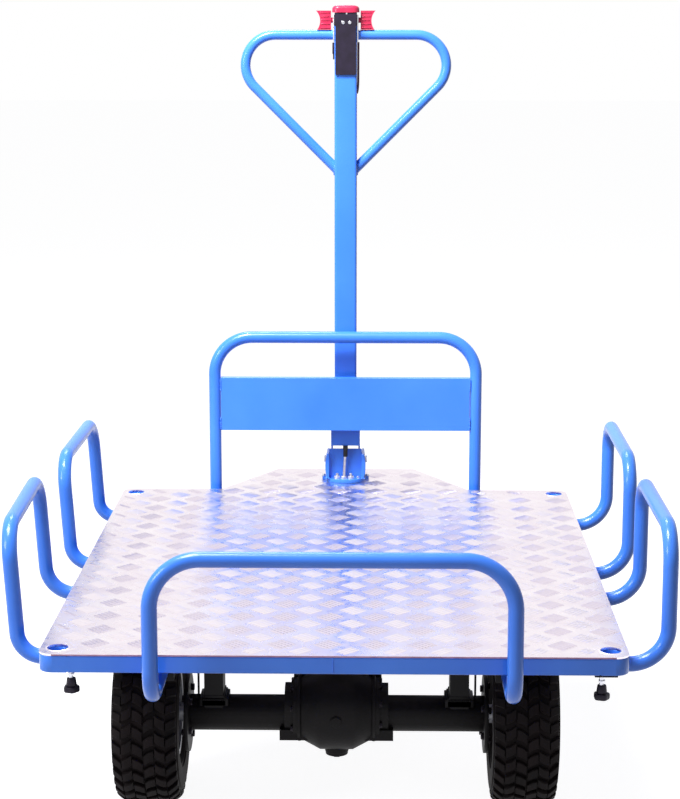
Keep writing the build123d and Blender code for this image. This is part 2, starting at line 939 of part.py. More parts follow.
def control_head():
    """The black head on the column with an apron down its deck side."""
    half = head_width / 2
    half_depth = head_depth / 2
    low = (-half, kingpin_y - half_depth, column_top_z)
    head = block(low, (half, kingpin_y + half_depth, head_top_z))
    near = kingpin_y - column_side / 2
    apron_low = (-apron_width / 2, near - apron_thickness, column_top_z - apron_drop)
    return head + block(apron_low, (apron_width / 2, near, column_top_z))


def stop_button():
    """The wide domed button on the head."""
    plan = RectangleRounded(button_width, button_depth, button_corner)
    button = Pos(0, kingpin_y, head_top_z) * extrude(plan, amount=button_height)
    return fillet(button.edges().group_by(Axis.Z)[-1], button_dome)


def throttle_wings():
    """Two waisted thumb wings on short shafts."""
    low = handle_z + wing_low_rise
    high = handle_z + wing_high_rise
    waist = handle_z + wing_waist_rise
    profile = make_face(
        [
            Line((wing_inner_x, low), (wing_low_x, low)),
            ThreePointArc((wing_low_x, low), (wing_waist_x, waist), (wing_top_x, high)),
            Line((wing_top_x, high), (wing_inner_x, high)),
            Line((wing_inner_x, high), (wing_inner_x, low)),
        ]
    )
    far = kingpin_y + wing_thickness / 2
    wing_plane = Plane(origin=(0, far, 0), x_dir=(1, 0, 0), z_dir=(0, -1, 0))
    wing = extrude(wing_plane * profile, amount=wing_thickness)
    start = (ear_plate_outer, kingpin_y, waist)
    wing += rod(wing_shaft_diameter / 2, start, (wing_inner_x, kingpin_y, waist))
    return pair(wing)


def control_cable():
    """The thin cable from the handle's plate down into the column's side."""
    half = column_side / 2
    x = half + cable_offset
    points = [
        (x, kingpin_y, ear_low_z),
        (x, kingpin_y, handle_z - cable_turn_drop),
        (half, kingpin_y, handle_z - cable_drop),
    ]
    cable = bent_bar(cable_diameter / 2, points, [cable_bend])
    high = (half, kingpin_y + half, column_top_z)
    return cable - block((-half, kingpin_y - half, deck_height), high)


def finish(shape):
    """Moves a piece from the deck's rear edge to the origin at mid length."""
    return Pos(0, -middle_of_length, 0) * shape


nodes = {
    "deck_plate": deck_plate(),
    "side_rails": side_rails(),
    "end_rails": end_rails(),
    "cross_members": cross_members(),
    "chassis_beams": chassis_beams(),
    "rear_hoop": end_hoop(
        rear_hoop_width,
        rear_hoop_height,
        -rear_hoop_standoff,
        rear_hoop_standoff,
        rear_cross + rail_width,
        stub_z - rear_stub_drop,
    ),
    "front_hoop": end_hoop(
        front_hoop_width,
        front_hoop_height,
        deck_length + front_hoop_standoff,
        front_hoop_standoff,
        front_cross,
        stub_z,
    ),
    "front_panel": front_panel(),
    "hoop_saddles": hoop_saddles(),
    "hoop_knobs": hoop_knobs(),
    "knob_studs": knob_studs(),
    "tongue": tongue(),
    "tongue_tread": tongue_tread(),
    "axle_housing": axle_housing(),
    "rear_spindles": rear_spindles(),
    "drive_motor": drive_motor(),
    "brake_plates": brake_plates(),
    "axle_posts": axle_posts(),
    "brake_rods": brake_rods(),
    "battery_box": battery_box(),
    "battery_straps": battery_straps(),
    "controller_box": controller_box(),
    "kingpin": kingpin(),
    "thrust_ring": thrust_ring(),
    "axle_carrier": axle_carrier(),
    "front_axle": front_axle(),
    "base_disc": base_disc(),
    "tiller_fork": tiller_fork(),
    "pivot_pin": pivot_pin(),
    "tiller_stop": tiller_stop(),
    "stop_rod": stop_rod(),
    "tiller_column": tiller_column(),
    "handle_loop": handle_loop(),
    "handle_ears": handle_ears(),
    "control_head": control_head(),
    "stop_button": stop_button(),
    "throttle_wings": throttle_wings(),
    "control_cable": control_cable(),
}
for hoop_name, placing in side_hoops.items():
    nodes[f"{hoop_name}_hoop"] = side_hoop(*placing)

# Each axle's place, track and shaft
wheel_sets = {
    "rear": (rear_axle_y, rear_track, spindle_diameter),
    "front": (kingpin_y, front_track, front_axle_diameter),
}
for end_name, (y, track, shaft) in wheel_sets.items():
    for side_name, side in (("left", -1), ("right", 1)):
        place = Pos(side * track / 2, y, axle_z)
        turn = Rot(0, 0, 0 if side > 0 else 180)
        nodes[f"{end_name}_{side_name}_tyre"] = place * tyre()
        nodes[f"{end_name}_{side_name}_rim"] = place * turn * rim(shaft)

os.makedirs("parts", exist_ok=True)
for name, shape in nodes.items():
    export_step(finish(shape), f"parts/{name}.step")
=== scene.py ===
# Electric platform truck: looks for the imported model, in metres, X right, Y forward, Z up
import math

import bmesh
import bpy
from mathutils import Matrix, Vector
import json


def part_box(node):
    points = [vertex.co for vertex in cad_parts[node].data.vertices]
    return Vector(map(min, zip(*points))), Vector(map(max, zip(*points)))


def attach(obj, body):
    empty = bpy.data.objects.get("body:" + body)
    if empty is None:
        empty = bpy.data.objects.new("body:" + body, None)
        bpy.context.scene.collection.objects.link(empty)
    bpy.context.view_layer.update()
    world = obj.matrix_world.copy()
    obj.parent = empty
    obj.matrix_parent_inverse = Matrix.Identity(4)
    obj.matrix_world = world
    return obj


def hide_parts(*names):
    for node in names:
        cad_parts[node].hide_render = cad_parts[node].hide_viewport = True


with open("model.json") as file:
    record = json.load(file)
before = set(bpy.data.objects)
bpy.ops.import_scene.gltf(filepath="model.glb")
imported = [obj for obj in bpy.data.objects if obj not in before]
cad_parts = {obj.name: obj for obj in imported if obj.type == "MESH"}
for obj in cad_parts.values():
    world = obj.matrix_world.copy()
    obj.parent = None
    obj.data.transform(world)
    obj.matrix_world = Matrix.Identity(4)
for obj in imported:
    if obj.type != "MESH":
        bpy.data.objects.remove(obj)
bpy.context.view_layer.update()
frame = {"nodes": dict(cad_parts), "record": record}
print("packed truck loaded:", len(frame["nodes"]), "nodes")


# Places that the frame gives: the deck, the kingpin along the truck, and the rear axle

deckLow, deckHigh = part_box("deck_plate")
deck = {
    "rear": deckLow.y,
    "front": deckHigh.y,
    "top": deckHigh.z,
    "halfWidth": deckHigh.x,
    "length": deckHigh.y - deckLow.y,
}
kingpin = sum(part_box("kingpin"), Vector()).y / 2
rearAxle = sum(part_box("rear_left_tyre"), Vector()) / 2

up, down = (0, 0, 1), (0, 0, -1)
forward, rearward = (0, 1, 0), (0, -1, 0)
bothSides = (-1, 1)  # left and right, as seen from behind
wheels = [(end, side) for end in ("rear", "front") for side in ("left", "right")]


# Camera: behind the truck, a little above the tiller's head

camera = {
    "place": (0.0726, deck["rear"] - 3.2258, deck["top"] + 1.0613),
    "downDegrees": 10.914,
    "turnDegrees": 1.083,
    "lens": 90.27,
    "sensorWidth": 36,
}
cameraData = bpy.data.cameras.new("photoCamera")
cameraData.lens = camera["lens"]
cameraData.sensor_width = camera["sensorWidth"]
photoCamera = bpy.data.objects.new("photoCamera", cameraData)
photoCamera.location = camera["place"]
photoCamera.rotation_euler = (
    math.radians(90 - camera["downDegrees"]),
    0,
    math.radians(camera["turnDegrees"]),
)
bpy.context.collection.objects.link(photoCamera)
bpy.context.scene.camera = photoCamera


def linear(code):  # "#2f7fe0" to the colour a shader socket takes
    channels = [int(code[i : i + 2], 16) / 255 for i in (1, 3, 5)]
    return [c / 12.92 if c <= 0.04045 else ((c + 0.055) / 1.055) ** 2.4 for c in channels] + [1]


# Materials: one small function adds a node with its settings and links


def addNode(tree, kind, settings=None, links=None):
    node = tree.nodes.new(kind)
    for name, value in (settings or {}).items():
        if isinstance(name, int) or name in node.inputs:
            node.inputs[name].default_value = value
        else:
            setattr(node, name, value)
    for name, source in (links or {}).items():
        tree.links.new(source, node.inputs[name])
    return node


def newFinish(name, colour, settings):
    finish = bpy.data.materials.new(name)
    finish.use_nodes = True
    shader = finish.node_tree.nodes["Principled BSDF"]
    shader.inputs["Base Color"].default_value = linear(colour)
    for socket, value in settings.items():
        shader.inputs[socket].default_value = value
    finish.diffuse_color = linear(colour)
    return finish, finish.node_tree, shader


def mottle(tree, shader, size, low, high, socket="Base Color"):
    # noise of one real size in metres that runs between two colours or two values
    place = addNode(tree, "ShaderNodeTexCoord")
    noise = addNode(
        tree,
        "ShaderNodeTexNoise",
        {"Scale": 1 / size, "Detail": 4.0},
        {"Vector": place.outputs["Object"]},
    )
    ramp = addNode(tree, "ShaderNodeValToRGB", links={"Fac": noise.outputs["Fac"]})
    for element, at, value in zip(ramp.color_ramp.elements, (0.3, 0.7), (low, high)):
        element.position = at
        element.color = linear(value) if isinstance(value, str) else [value] * 3 + [1]
    tree.links.new(ramp.outputs["Color"], shader.inputs[socket])


def grain(tree, shader, size, depth, strength):
    # bumps of one size and depth in metres: a real grain under 1 mm is drawn 1 to 2 mm wide to show
    place = addNode(tree, "ShaderNodeTexCoord")
    noise = addNode(
        tree, "ShaderNodeTexNoise", {"Scale": 1 / size}, {"Vector": place.outputs["Object"]}
    )
    bump = addNode(
        tree,
        "ShaderNodeBump",
        {"Strength": strength, "Distance": depth},
        {"Height": noise.outputs["Fac"]},
    )
    tree.links.new(bump.outputs["Normal"], shader.inputs["Normal"])


# Finishes by slot, and two for trim: the real material, how it is made, what that gives the eye

# each row: name, colour, surface, tones (size, low, high), bumps (size, depth, strength)
finishTable = {
    "blue_paint": (  # gloss polyester powder coat: deep even blue with a slight orange peel
        "bluePowderCoat", "#3a7cec",
        {"Roughness": 0.32, "Specular IOR Level": 0.28, "Coat Weight": 0.32, "Coat Roughness": 0.08},
        (0.22, "#3475e5", "#4384f2"),
        (0.004, 0.0001, 0.3),
    ),
    "tread_plate": (  # rolled aluminium plate: bright, with soft reflections between the bars
        "treadAluminium", "#fbf2f8",
        {"Metallic": 1.0, "Roughness": 0.3},
        (0.09, "#f3e7f0", "#fef6fb"),
        (0.006, 0.00006, 0.3),
        (0.014, 0.22, 0.4),  # patches of another roughness, from handling
    ),
    "black_paint": (  # brushed chassis enamel: dark, satin, a little dust
        "satinBlackPaint", "#070507",
        {"Roughness": 0.5, "Specular IOR Level": 0.16},
        (0.05, "#050405", "#0b080b"),
        (0.003, 0.0001, 0.3),
    ),
    "cast_casing": (  # sand cast iron under black paint: pebbled skin with soft glints
        "blackCasting", "#060406",
        {"Roughness": 0.55, "Specular IOR Level": 0.16},
        (0.02, "#040304", "#0d090b"),
        (0.0035, 0.0005, 0.8),
    ),
    "motor_enamel": (  # stoved black enamel: deep and fairly glossy
        "motorEnamel", "#0b090c",
        {"Roughness": 0.34, "Specular IOR Level": 0.3},
        (0.08, "#0b090c", "#151316"),
        (0.005, 0.0001, 0.3),
    ),
    "cast_aluminium": (  # die cast controller shell: grey metal with a fine matt skin
        "dieCastAluminium", "#a9abb0",
        {"Metallic": 0.85, "Roughness": 0.48},
        (0.015, "#9c9ea4", "#b8bac0"),
        (0.0015, 0.0001, 0.4),
    ),
    "zinc_steel": (  # zinc plate with clear passivate: bright steel, faint blue
        "brightZinc", "#d3d4da",
        {"Metallic": 1.0, "Roughness": 0.28},
        (0.006, "#c2c4cc", "#e2e2e8"),
        (0.0012, 0.00005, 0.3),
    ),
    "rim_paint": (  # pressed steel rim in silver paint: soft metallic grey
        "silverRimPaint", "#c4c5ca",
        {"Metallic": 0.6, "Roughness": 0.38},
        (0.03, "#b8b9bf", "#d0d1d6"),
        (0.002, 0.00008, 0.3),
    ),
    "tyre_rubber": (  # carbon black rubber: brownish black, matt, dusty in patches
        "tyreRubber", "#0f0b0c",
        {"Roughness": 0.7, "Specular IOR Level": 0.12},
        (0.03, "#0a0708", "#181112"),
        (0.002, 0.0002, 0.5),
    ),
    "black_rubber": (  # small moulded rubber buffer: matt black
        "mouldedRubber", "#0c0b0d",
        {"Roughness": 0.65},
        (0.01, "#080709", "#141214"),
        (0.0015, 0.0001, 0.4),
    ),
    "black_plastic": (  # moulded nylon: plum black with a fine spark grain
        "blackNylon", "#1a1423",
        {"Roughness": 0.45, "Specular IOR Level": 0.25},
        (0.02, "#150f1d", "#20192b"),
        (0.0012, 0.00012, 0.5),
    ),
    "red_plastic": (  # glossy moulded ABS: saturated warm red
        "redThermoplastic", "#b02448",
        {"Roughness": 0.26, "Specular IOR Level": 0.32},
        (0.03, "#a41f42", "#bd2e4f"),
        (0.003, 0.00006, 0.25),
    ),
    "cable_sheath": (  # soft PVC sheath: dark wine red, dull
        "cableSheath", "#4a1a2c",
        {"Roughness": 0.5},
        (0.008, "#401525", "#572236"),
        (0.001, 0.0001, 0.4),
    ),
    "sheetEdgePaintedShade": (  # sheared aluminium edge: a dull rose grey line under the bright face, its rougher finish real and its darker colour painted shade of the edge face
        "sheetEdgePaintedShade", "#a47f96",
        {"Metallic": 0.3, "Roughness": 0.6},
        (0.02, "#94708a", "#b48ea2"),
        (0.002, 0.0001, 0.4),
    ),
    "darkBolts": (  # phosphated steel rod and bolts: near black metal with an oily sheen
        "darkenedSteel", "#2a272b",
        {"Metallic": 1.0, "Roughness": 0.42},
        (0.008, "#221f23", "#343036"),
        (0.0015, 0.00006, 0.3),
    ),
}


def makeFinish(name, colour, surface, tones, bumps, patches=None):
    finish, tree, shader = newFinish(name, colour, surface)
    mottle(tree, shader, *tones)
    if patches:
        mottle(tree, shader, *patches, socket="Roughness")
    grain(tree, shader, *bumps)
    return finish


def raisedBarAluminium():  # the pattern's rolled bars: satin, each direction with its own tone, one painted lighter and one darker as painted sheen for how the light catches each direction
    finish, tree, shader = newFinish(
        "raisedBarAluminium", "#f3e9f2", {"Metallic": 1.0, "Roughness": 0.3}
    )
    tone = addNode(tree, "ShaderNodeAttribute", {"attribute_name": "paintedSheenTone"})
    blend = addNode(
        tree,
        "ShaderNodeMix",
        {"data_type": "RGBA", 6: linear("#ebe0ec"), 7: linear("#fbf2f8")},  # its two colours: the painted sheen, darker and lighter, one for each bar direction
        {0: tone.outputs["Fac"]},
    )
    tree.links.new(blend.outputs[2], shader.inputs["Base Color"])
    grain(tree, shader, 0.0025, 0.00008, 0.4)
    return finish


finishes = {use: makeFinish(*row) for use, row in finishTable.items()}
finishes["raisedBars"] = raisedBarAluminium()
for part in frame["record"]["subparts"]:
    for materialSlot in frame["nodes"][part["node"]].material_slots:
        materialSlot.material = finishes[part["material_slot"]]
for materialSlot in frame["nodes"]["brake_rods"].material_slots:
    materialSlot.material = finishes["darkBolts"]
print("finishes on all packed nodes")


# Control cable: the same route as in the source, from the handle's plate into the column

controlCable = {
    "points": [
        (0.028, kingpin, deck["top"] + 0.998),
        (0.0279, kingpin, deck["top"] + 0.94),
        (0.0278, kingpin, deck["top"] + 0.893),
        (0.0245, kingpin, deck["top"] + 0.885),
    ],
    "diameter": 0.005,
    "length": 0.114,
}
cableCurve = bpy.data.curves.new("tillerCable", "CURVE")
cableCurve.dimensions = "3D"
cableCurve.bevel_depth = controlCable["diameter"] / 2
cableCurve.bevel_resolution = 5
cableCurve.use_fill_caps = True
cableLine = cableCurve.splines.new("NURBS")
cableLine.points.add(len(controlCable["points"]) - 1)
for point, place in zip(cableLine.points, controlCable["points"]):
    point.co = (*place, 1)
cableLine.order_u = 3
cableLine.use_endpoint_u = True
cableLine.resolution_u = 12
tillerCable = bpy.data.objects.new("tillerCable", cableCurve)
bpy.context.collection.objects.link(tillerCable)
tillerCable.data.materials.append(finishes["cable_sheath"])
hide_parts("control_cable")
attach(tillerCable, "tiller")


# Shared modelling steps

crispFrom = 32  # degrees: an edge sharper than this stays crisp
rounding = {"affect": "EDGES", "profile": 0.5, "material": -1}
boltHead = {  # shares of the thread's size
    "washerRadius": 1.05,
    "washerHeight": 0.18,
    "headRadius": 0.9,
    "headHeight": 0.62,
    "chamfer": 0.08,
}


def toMesh(shape, name):
    mesh = bpy.data.meshes.new(name)
    shape.to_mesh(mesh)
    shape.free()
    return mesh


def stamp(shape, mesh, matrix):
    # adds a copy of a finished mesh
    copy = mesh.copy()
    copy.transform(matrix)
    shape.from_mesh(copy)
    bpy.data.meshes.remove(copy)


def rimEdge(edge):
    return len(edge.link_faces) == 2 and any(len(f.verts) > 4 for f in edge.link_faces)


def addDrum(shape, place, axis, radius, length, sides=24, top=None, edge=0.0):
    # a round or six sided bar from place along axis, with its edges eased
    made = bmesh.ops.create_cone(
        shape,
        cap_ends=True,
        segments=sides,
        radius1=radius,
        radius2=radius if top is None else top,
        depth=length,
    )["verts"]
    if edge:
        edges = dict.fromkeys(e for v in made for e in v.link_edges)
        rims = [e for e in edges if rimEdge(e)]
        bevelled = bmesh.ops.bevel(shape, geom=rims, offset=edge, segments=2, **rounding)["verts"]
        made = list(dict.fromkeys([v for v in made if v.is_valid] + bevelled))
    turn = Vector(up).rotation_difference(Vector(axis)).to_matrix().to_4x4()
    lift = Matrix.Translation((0, 0, length / 2))
    bmesh.ops.transform(shape, matrix=Matrix.Translation(place) @ turn @ lift, verts=made)
    return made


def addBlock(shape, low, high, edge=0.001):
    # a box between two corners with eased edges
    size = Vector(high) - Vector(low)
    centre = (Vector(high) + Vector(low)) / 2
    made = bmesh.ops.create_cube(shape, size=1)["verts"]
    place = Matrix.Translation(centre) @ Matrix.Diagonal((*size, 1))
    bmesh.ops.transform(shape, matrix=place, verts=made)
    if edge:
        edges = list(dict.fromkeys(e for v in made for e in v.link_edges))
        bmesh.ops.bevel(shape, geom=edges, offset=edge, segments=2, **rounding)


def addBolt(shape, place, axis, size):
    # a hexagon head on a washer, for a thread of this size
    axis = Vector(axis).normalized()
    washer = size * boltHead["washerHeight"]
    addDrum(shape, place, axis, size * boltHead["washerRadius"], washer, 20)
    top = Vector(place) + axis * washer
    radius, height = size * boltHead["headRadius"], size * boltHead["headHeight"]
    addDrum(shape, top, axis, radius, height, 6, edge=size * boltHead["chamfer"])


def ringPlace(centre, axis, radius, angle):
    # a point on a circle round an axis
    turn = Vector(up).rotation_difference(Vector(axis)).to_matrix()
    spoke = Vector((radius * math.cos(angle), radius * math.sin(angle), 0))
    return Vector(centre) + turn @ spoke


def addBoltRing(shape, centre, axis, radius, bolts, thread, turn=0.0):
    for step in range(bolts):
        angle = turn + math.tau * step / bolts
        addBolt(shape, ringPlace(centre, axis, radius, angle), axis, thread)


def finishPiece(name, shape, materialSlot, body, sharp=crispFrom, replaced=(), finish=None):
    # turns a bmesh into a piece on its body, with its finish
    for face in shape.faces:
        face.smooth = True
    for edge in shape.edges:
        edge.smooth = edge.calc_face_angle(0) < math.radians(sharp)
    piece = bpy.data.objects.new(name, toMesh(shape, name))
    bpy.context.collection.objects.link(piece)
    piece.data.materials.append(finish or finishes[materialSlot])
    if replaced:
        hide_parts(*replaced)
    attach(piece, body)
    return piece


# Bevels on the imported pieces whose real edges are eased, by their width in metres

easedEdges = {
    0.003: "side_rails end_rails cross_members chassis_beams axle_housing battery_box drive_motor",
    0.002: "tongue control_head axle_posts axle_carrier",
    0.0018: "throttle_wings",
    0.0015: "tiller_fork hoop_saddles",
    0.0012: "front_panel base_disc tiller_stop brake_plates controller_box",
    0.001: "handle_ears",
    0.0008: "battery_straps",
}
seamReach = 0.00002  # corners closer than this are one corner
for width, nodeNames in easedEdges.items():
    for nodeName in nodeNames.split():
        node = frame["nodes"][nodeName]
        weld = node.modifiers.new("mergedSeams", "WELD")
        weld.merge_threshold = seamReach
        bevel = node.modifiers.new("easedEdges", "BEVEL")
        bevel.width = width
        bevel.segments = 3
        bevel.limit_method = "ANGLE"
        bevel.angle_limit = math.radians(crispFrom)
        bevel.harden_normals = True
print("edges eased")


# Tread plate's raised bars: groups of five, each group across its neighbours

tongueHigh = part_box("tongue_tread")[1]
tongue = {"halfRoot": tongueHigh.x, "halfTip": 0.16, "length": tongueHigh.y - deck["front"]}
treadBars = {
    "pitch": 0.08,
    "firstX": -0.01,
    "firstY": 0.062,
    "tilt": 45,
    "inGroup": 5,
    "spacing": 0.0079,
    "length": 0.039,
    "width": 0.0062,
    "height": 0.0016,
    "outline": ((-1, -0.1), (-0.62, 0.75), (0, 1.0), (0.62, 0.75), (1, -0.1)),
    "sections": ((-1, 0.3, 0), (-0.78, 0.9, 0.9), (0, 1, 1), (0.78, 0.9, 0.9), (1, 0.3, 0)),
    "edgeMargin": 0.005,
    "socketMargin": 0.024,
    "discMargin": 0.058,
}
plateEdge = {"halfWidth": 0.476, "proud": 0.0004, "depth": 0.001, "below": (0.0029, 0.0003)}
stakeSocket = {
    "across": 0.47,
    "fromEnd": 0.036,
    "hole": 0.0182,
    "lip": 0.0205,
    "rise": 0.0008,
    "segments": 48,
}
socketPlaces = [
    Vector((side * stakeSocket["across"], deck["rear"] + y, 0))
    for side in bothSides
    for y in (stakeSocket["fromEnd"], deck["length"] - stakeSocket["fromEnd"])
]


def onPlate(point):
    margin = treadBars["edgeMargin"]
    along = point.y - deck["rear"]
    reach = deck["halfWidth"]
    if along > deck["length"] - margin:
        share = (along - deck["length"]) / tongue["length"]
        reach = tongue["halfRoot"] + (tongue["halfTip"] - tongue["halfRoot"]) * share
    clear = all((point - place).length > treadBars["socketMargin"] for place in socketPlaces)
    clear = clear and (point - Vector((0, kingpin, 0))).length > treadBars["discMargin"]
    farEdge = deck["length"] + tongue["length"]
    return clear and abs(point.x) < reach - margin and margin < along < farEdge - margin


def oneTreadBar(tone):
    # a raised bar with a rounded back, narrowing towards both ends, of one painted sheen tone
    shape = bmesh.new()
    half, wide, high = treadBars["length"] / 2, treadBars["width"] / 2, treadBars["height"]
    rows = []
    for along, breadth, rise in treadBars["sections"]:
        places = [(along * half, y * wide * breadth, z * high * rise) for y, z in treadBars["outline"]]
        rows.append([shape.verts.new(place) for place in places])
    for near, far in zip(rows, rows[1:]):
        for place in range(len(near) - 1):
            shape.faces.new((near[place], far[place], far[place + 1], near[place + 1]))
    mesh = toMesh(shape, "oneBar")
    # the painted sheen tone: lighter and darker by the bar's direction, as the light would catch it
    paintedSheenTone = mesh.attributes.new("paintedSheenTone", "FLOAT", "POINT")
    for value in paintedSheenTone.data:
        value.value = tone
    return mesh


def makeTreadBars():
    bars = [oneTreadBar(tone) for tone in (0.0, 1.0)]
    shape = bmesh.new()
    pitch = treadBars["pitch"]
    half = treadBars["length"] / 2
    across = int(deck["halfWidth"] / pitch) + 2
    along = int((deck["length"] + tongue["length"]) / pitch) + 2
    places = [(c, r, t) for c in range(-across, across) for r in range(-1, along) for t in (0, 1)]
    for column, row, turned in places:
        angle = math.radians(treadBars["tilt"] if turned else -treadBars["tilt"])
        x = treadBars["firstX"] + (column + turned / 2) * pitch
        y = deck["rear"] + treadBars["firstY"] + (row + turned / 2) * pitch
        lengthways = Vector((math.cos(angle), math.sin(angle), 0))
        sideways = Vector((-lengthways.y, lengthways.x, 0))
        for place in range(treadBars["inGroup"]):
            offset = (place - (treadBars["inGroup"] - 1) / 2) * treadBars["spacing"]
            at = Vector((x, y, 0)) + sideways * offset
            if onPlate(at - lengthways * half) and onPlate(at + lengthways * half):
                lift = Matrix.Translation((at.x, at.y, deck["top"]))
                stamp(shape, bars[turned], lift @ Matrix.Rotation(angle, 4, "Z"))
    finishPiece("treadBars", shape, "tread_plate", "chassis", 60, finish=finishes["raisedBars"])


def makePlateEdge():
    edge = bmesh.new()
    half, rear = plateEdge["halfWidth"], deck["rear"]
    base, top = [deck["top"] - below for below in plateEdge["below"]]
    low = (-half, rear - plateEdge["proud"], base)
    addBlock(edge, low, (half, rear + plateEdge["depth"], top), 0)
    # the plate's edge face in painted shade, darker than the bright face
    finishPiece("plateEdge", edge, "tread_plate", "chassis", finish=finishes["sheetEdgePaintedShade"])


makeTreadBars()
makePlateEdge()
print("tread bars done")


# Tyres: a turned carcass with three rows of wavy blocks on each side of the middle

tyre = {
    "radius": 0.167,
    "grooveDepth": 0.008,
    "pitches": 34,
    "shoulderStart": 0.038,
    "shoulderDrop": 0.7,
}
grooveFloor = tyre["radius"] - tyre["grooveDepth"]
carcass = [  # radius and half width, from the bead over the sidewall to the middle of the tread
    *((0.0765, 0.0445), (0.0845, 0.0445), (0.0875, 0.0485), (0.0935, 0.0530)),
    *((0.0950, 0.0550), (0.0985, 0.0553), (0.1005, 0.0580), (0.1165, 0.0600)),
    *((0.1300, 0.0597), (0.1385, 0.0590), (0.1395, 0.0570), (0.1450, 0.0555)),
    (grooveFloor - 0.0120, 0.0520),
    (grooveFloor - 0.0005, 0.0385),
    (grooveFloor, 0.0190),
    (grooveFloor, 0.0),
]
treadRows = (  # inner and outer edge, length as a share of the pitch, shift, skew and bow
    (0.0014, 0.0188, 0.66, 0.0, 0.0095, 0.002),
    (0.0208, 0.0385, 0.64, 0.0065, -0.0095, -0.002),
    (0.0404, 0.0570, 0.56, 0.001, 0.007, 0.0),
)
treadBlock = {
    "sections": 5,
    "sideDrop": 0.0009,
    "edgeDrop": 0.0012,
    "root": 0.003,
    "shares": (0.93, 0.82),  # of the half length, at the edge's foot and top
}


def makeCarcass(shape):
    outline = carcass + [(r, -x) for r, x in reversed(carcass[:-1])]
    points = [shape.verts.new((x, 0, r)) for r, x in outline]
    edges = [shape.edges.new((a, b)) for a, b in zip(points, points[1:])]
    edges.append(shape.edges.new((points[-1], points[0])))
    bmesh.ops.spin(
        shape,
        geom=points + edges,
        cent=(0, 0, 0),
        axis=(1, 0, 0),
        angle=math.tau,
        steps=3 * tyre["pitches"],
        use_merge=True,
    )
    bmesh.ops.remove_doubles(shape, verts=shape.verts, dist=seamReach)
    bmesh.ops.recalc_face_normals(shape, faces=shape.faces)


def addTreadBlock(shape, side, row, turn):
    # one wavy block bent round the tyre, from a section at every quarter of its width
    inner, outer, long, shift, skew, bow = row
    reach = math.tau * tyre["radius"] / tyre["pitches"] * long / 2
    flank, crown = [reach * share for share in treadBlock["shares"]]
    last = treadBlock["sections"] - 1
    sections = []
    for place in range(treadBlock["sections"]):
        share = place / last
        x = inner + (outer - inner) * share
        drop = max(0, x - tyre["shoulderStart"]) * tyre["shoulderDrop"]
        top = tyre["radius"] - drop - (treadBlock["sideDrop"] if place in (0, last) else 0)
        foot = tyre["radius"] - drop - tyre["grooveDepth"] - treadBlock["root"]
        middle = turn + shift + (skew * (share - 0.5) + bow * math.sin(share * math.pi))
        half = [(reach, foot), (flank, top - treadBlock["edgeDrop"]), (crown, top)]
        section = []
        for y, radius in [(-y, radius) for y, radius in half] + half[::-1]:
            angle = (middle + y) / tyre["radius"]
            point = (side * x, radius * math.sin(angle), radius * math.cos(angle))
            section.append(shape.verts.new(point))
        sections.append(section)
    for near, far in zip(sections, sections[1:]):
        for corner in range(len(near)):
            following = (corner + 1) % len(near)
            shape.faces.new((near[corner], near[following], far[following], far[corner]))
    shape.faces.new(sections[0])
    shape.faces.new(sections[-1])


def tyreMesh():
    step = math.tau * tyre["radius"] / tyre["pitches"]
    blocks = bmesh.new()
    for side, turn in ((-1, 0), (1, step / 2)):
        for row in treadRows:
            addTreadBlock(blocks, side, row, turn)
    bmesh.ops.recalc_face_normals(blocks, faces=blocks.faces)
    onePitch = toMesh(blocks, "onePitch")
    shape = bmesh.new()
    makeCarcass(shape)
    for place in range(tyre["pitches"]):
        stamp(shape, onePitch, Matrix.Rotation(math.tau * place / tyre["pitches"], 4, "X"))
    bpy.data.meshes.remove(onePitch)
    return toMesh(shape, "treadedTyre")


treadedTyre = tyreMesh()
for end, side in wheels:
    low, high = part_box(f"{end}_{side}_tyre")
    tyreShape = bmesh.new()
    stamp(tyreShape, treadedTyre, Matrix.Translation((low + high) / 2))
    finishPiece(
        f"{end}{side.capitalize()}Tyre",
        tyreShape,
        "tyre_rubber",
        f"{end}_{side}_wheel",
        sharp=28,
        replaced=[f"{end}_{side}_tyre"],
    )
print("tyres done")


# Hand knobs: a five lobed star on each clamp stud, with the weld nut above it

handKnob = {
    "grip": {"radius": 0.0145, "sides": 40, "edge": 0.003},
    "gripShare": 0.45,
    "lobes": 5,
    "lobeDepth": 0.0016,
    "plainCore": 0.004,
    "hub": {"radius": 0.0096, "top": 0.0078, "sides": 28, "edge": 0.0012},
    "hubSink": 0.0005,
    "apart": 0.04,  # corners closer than this belong to one knob
    "nutRise": 0.0045,
    "nut": {"radius": 0.0062, "length": 0.0045, "sides": 6, "edge": 0.0006},
}


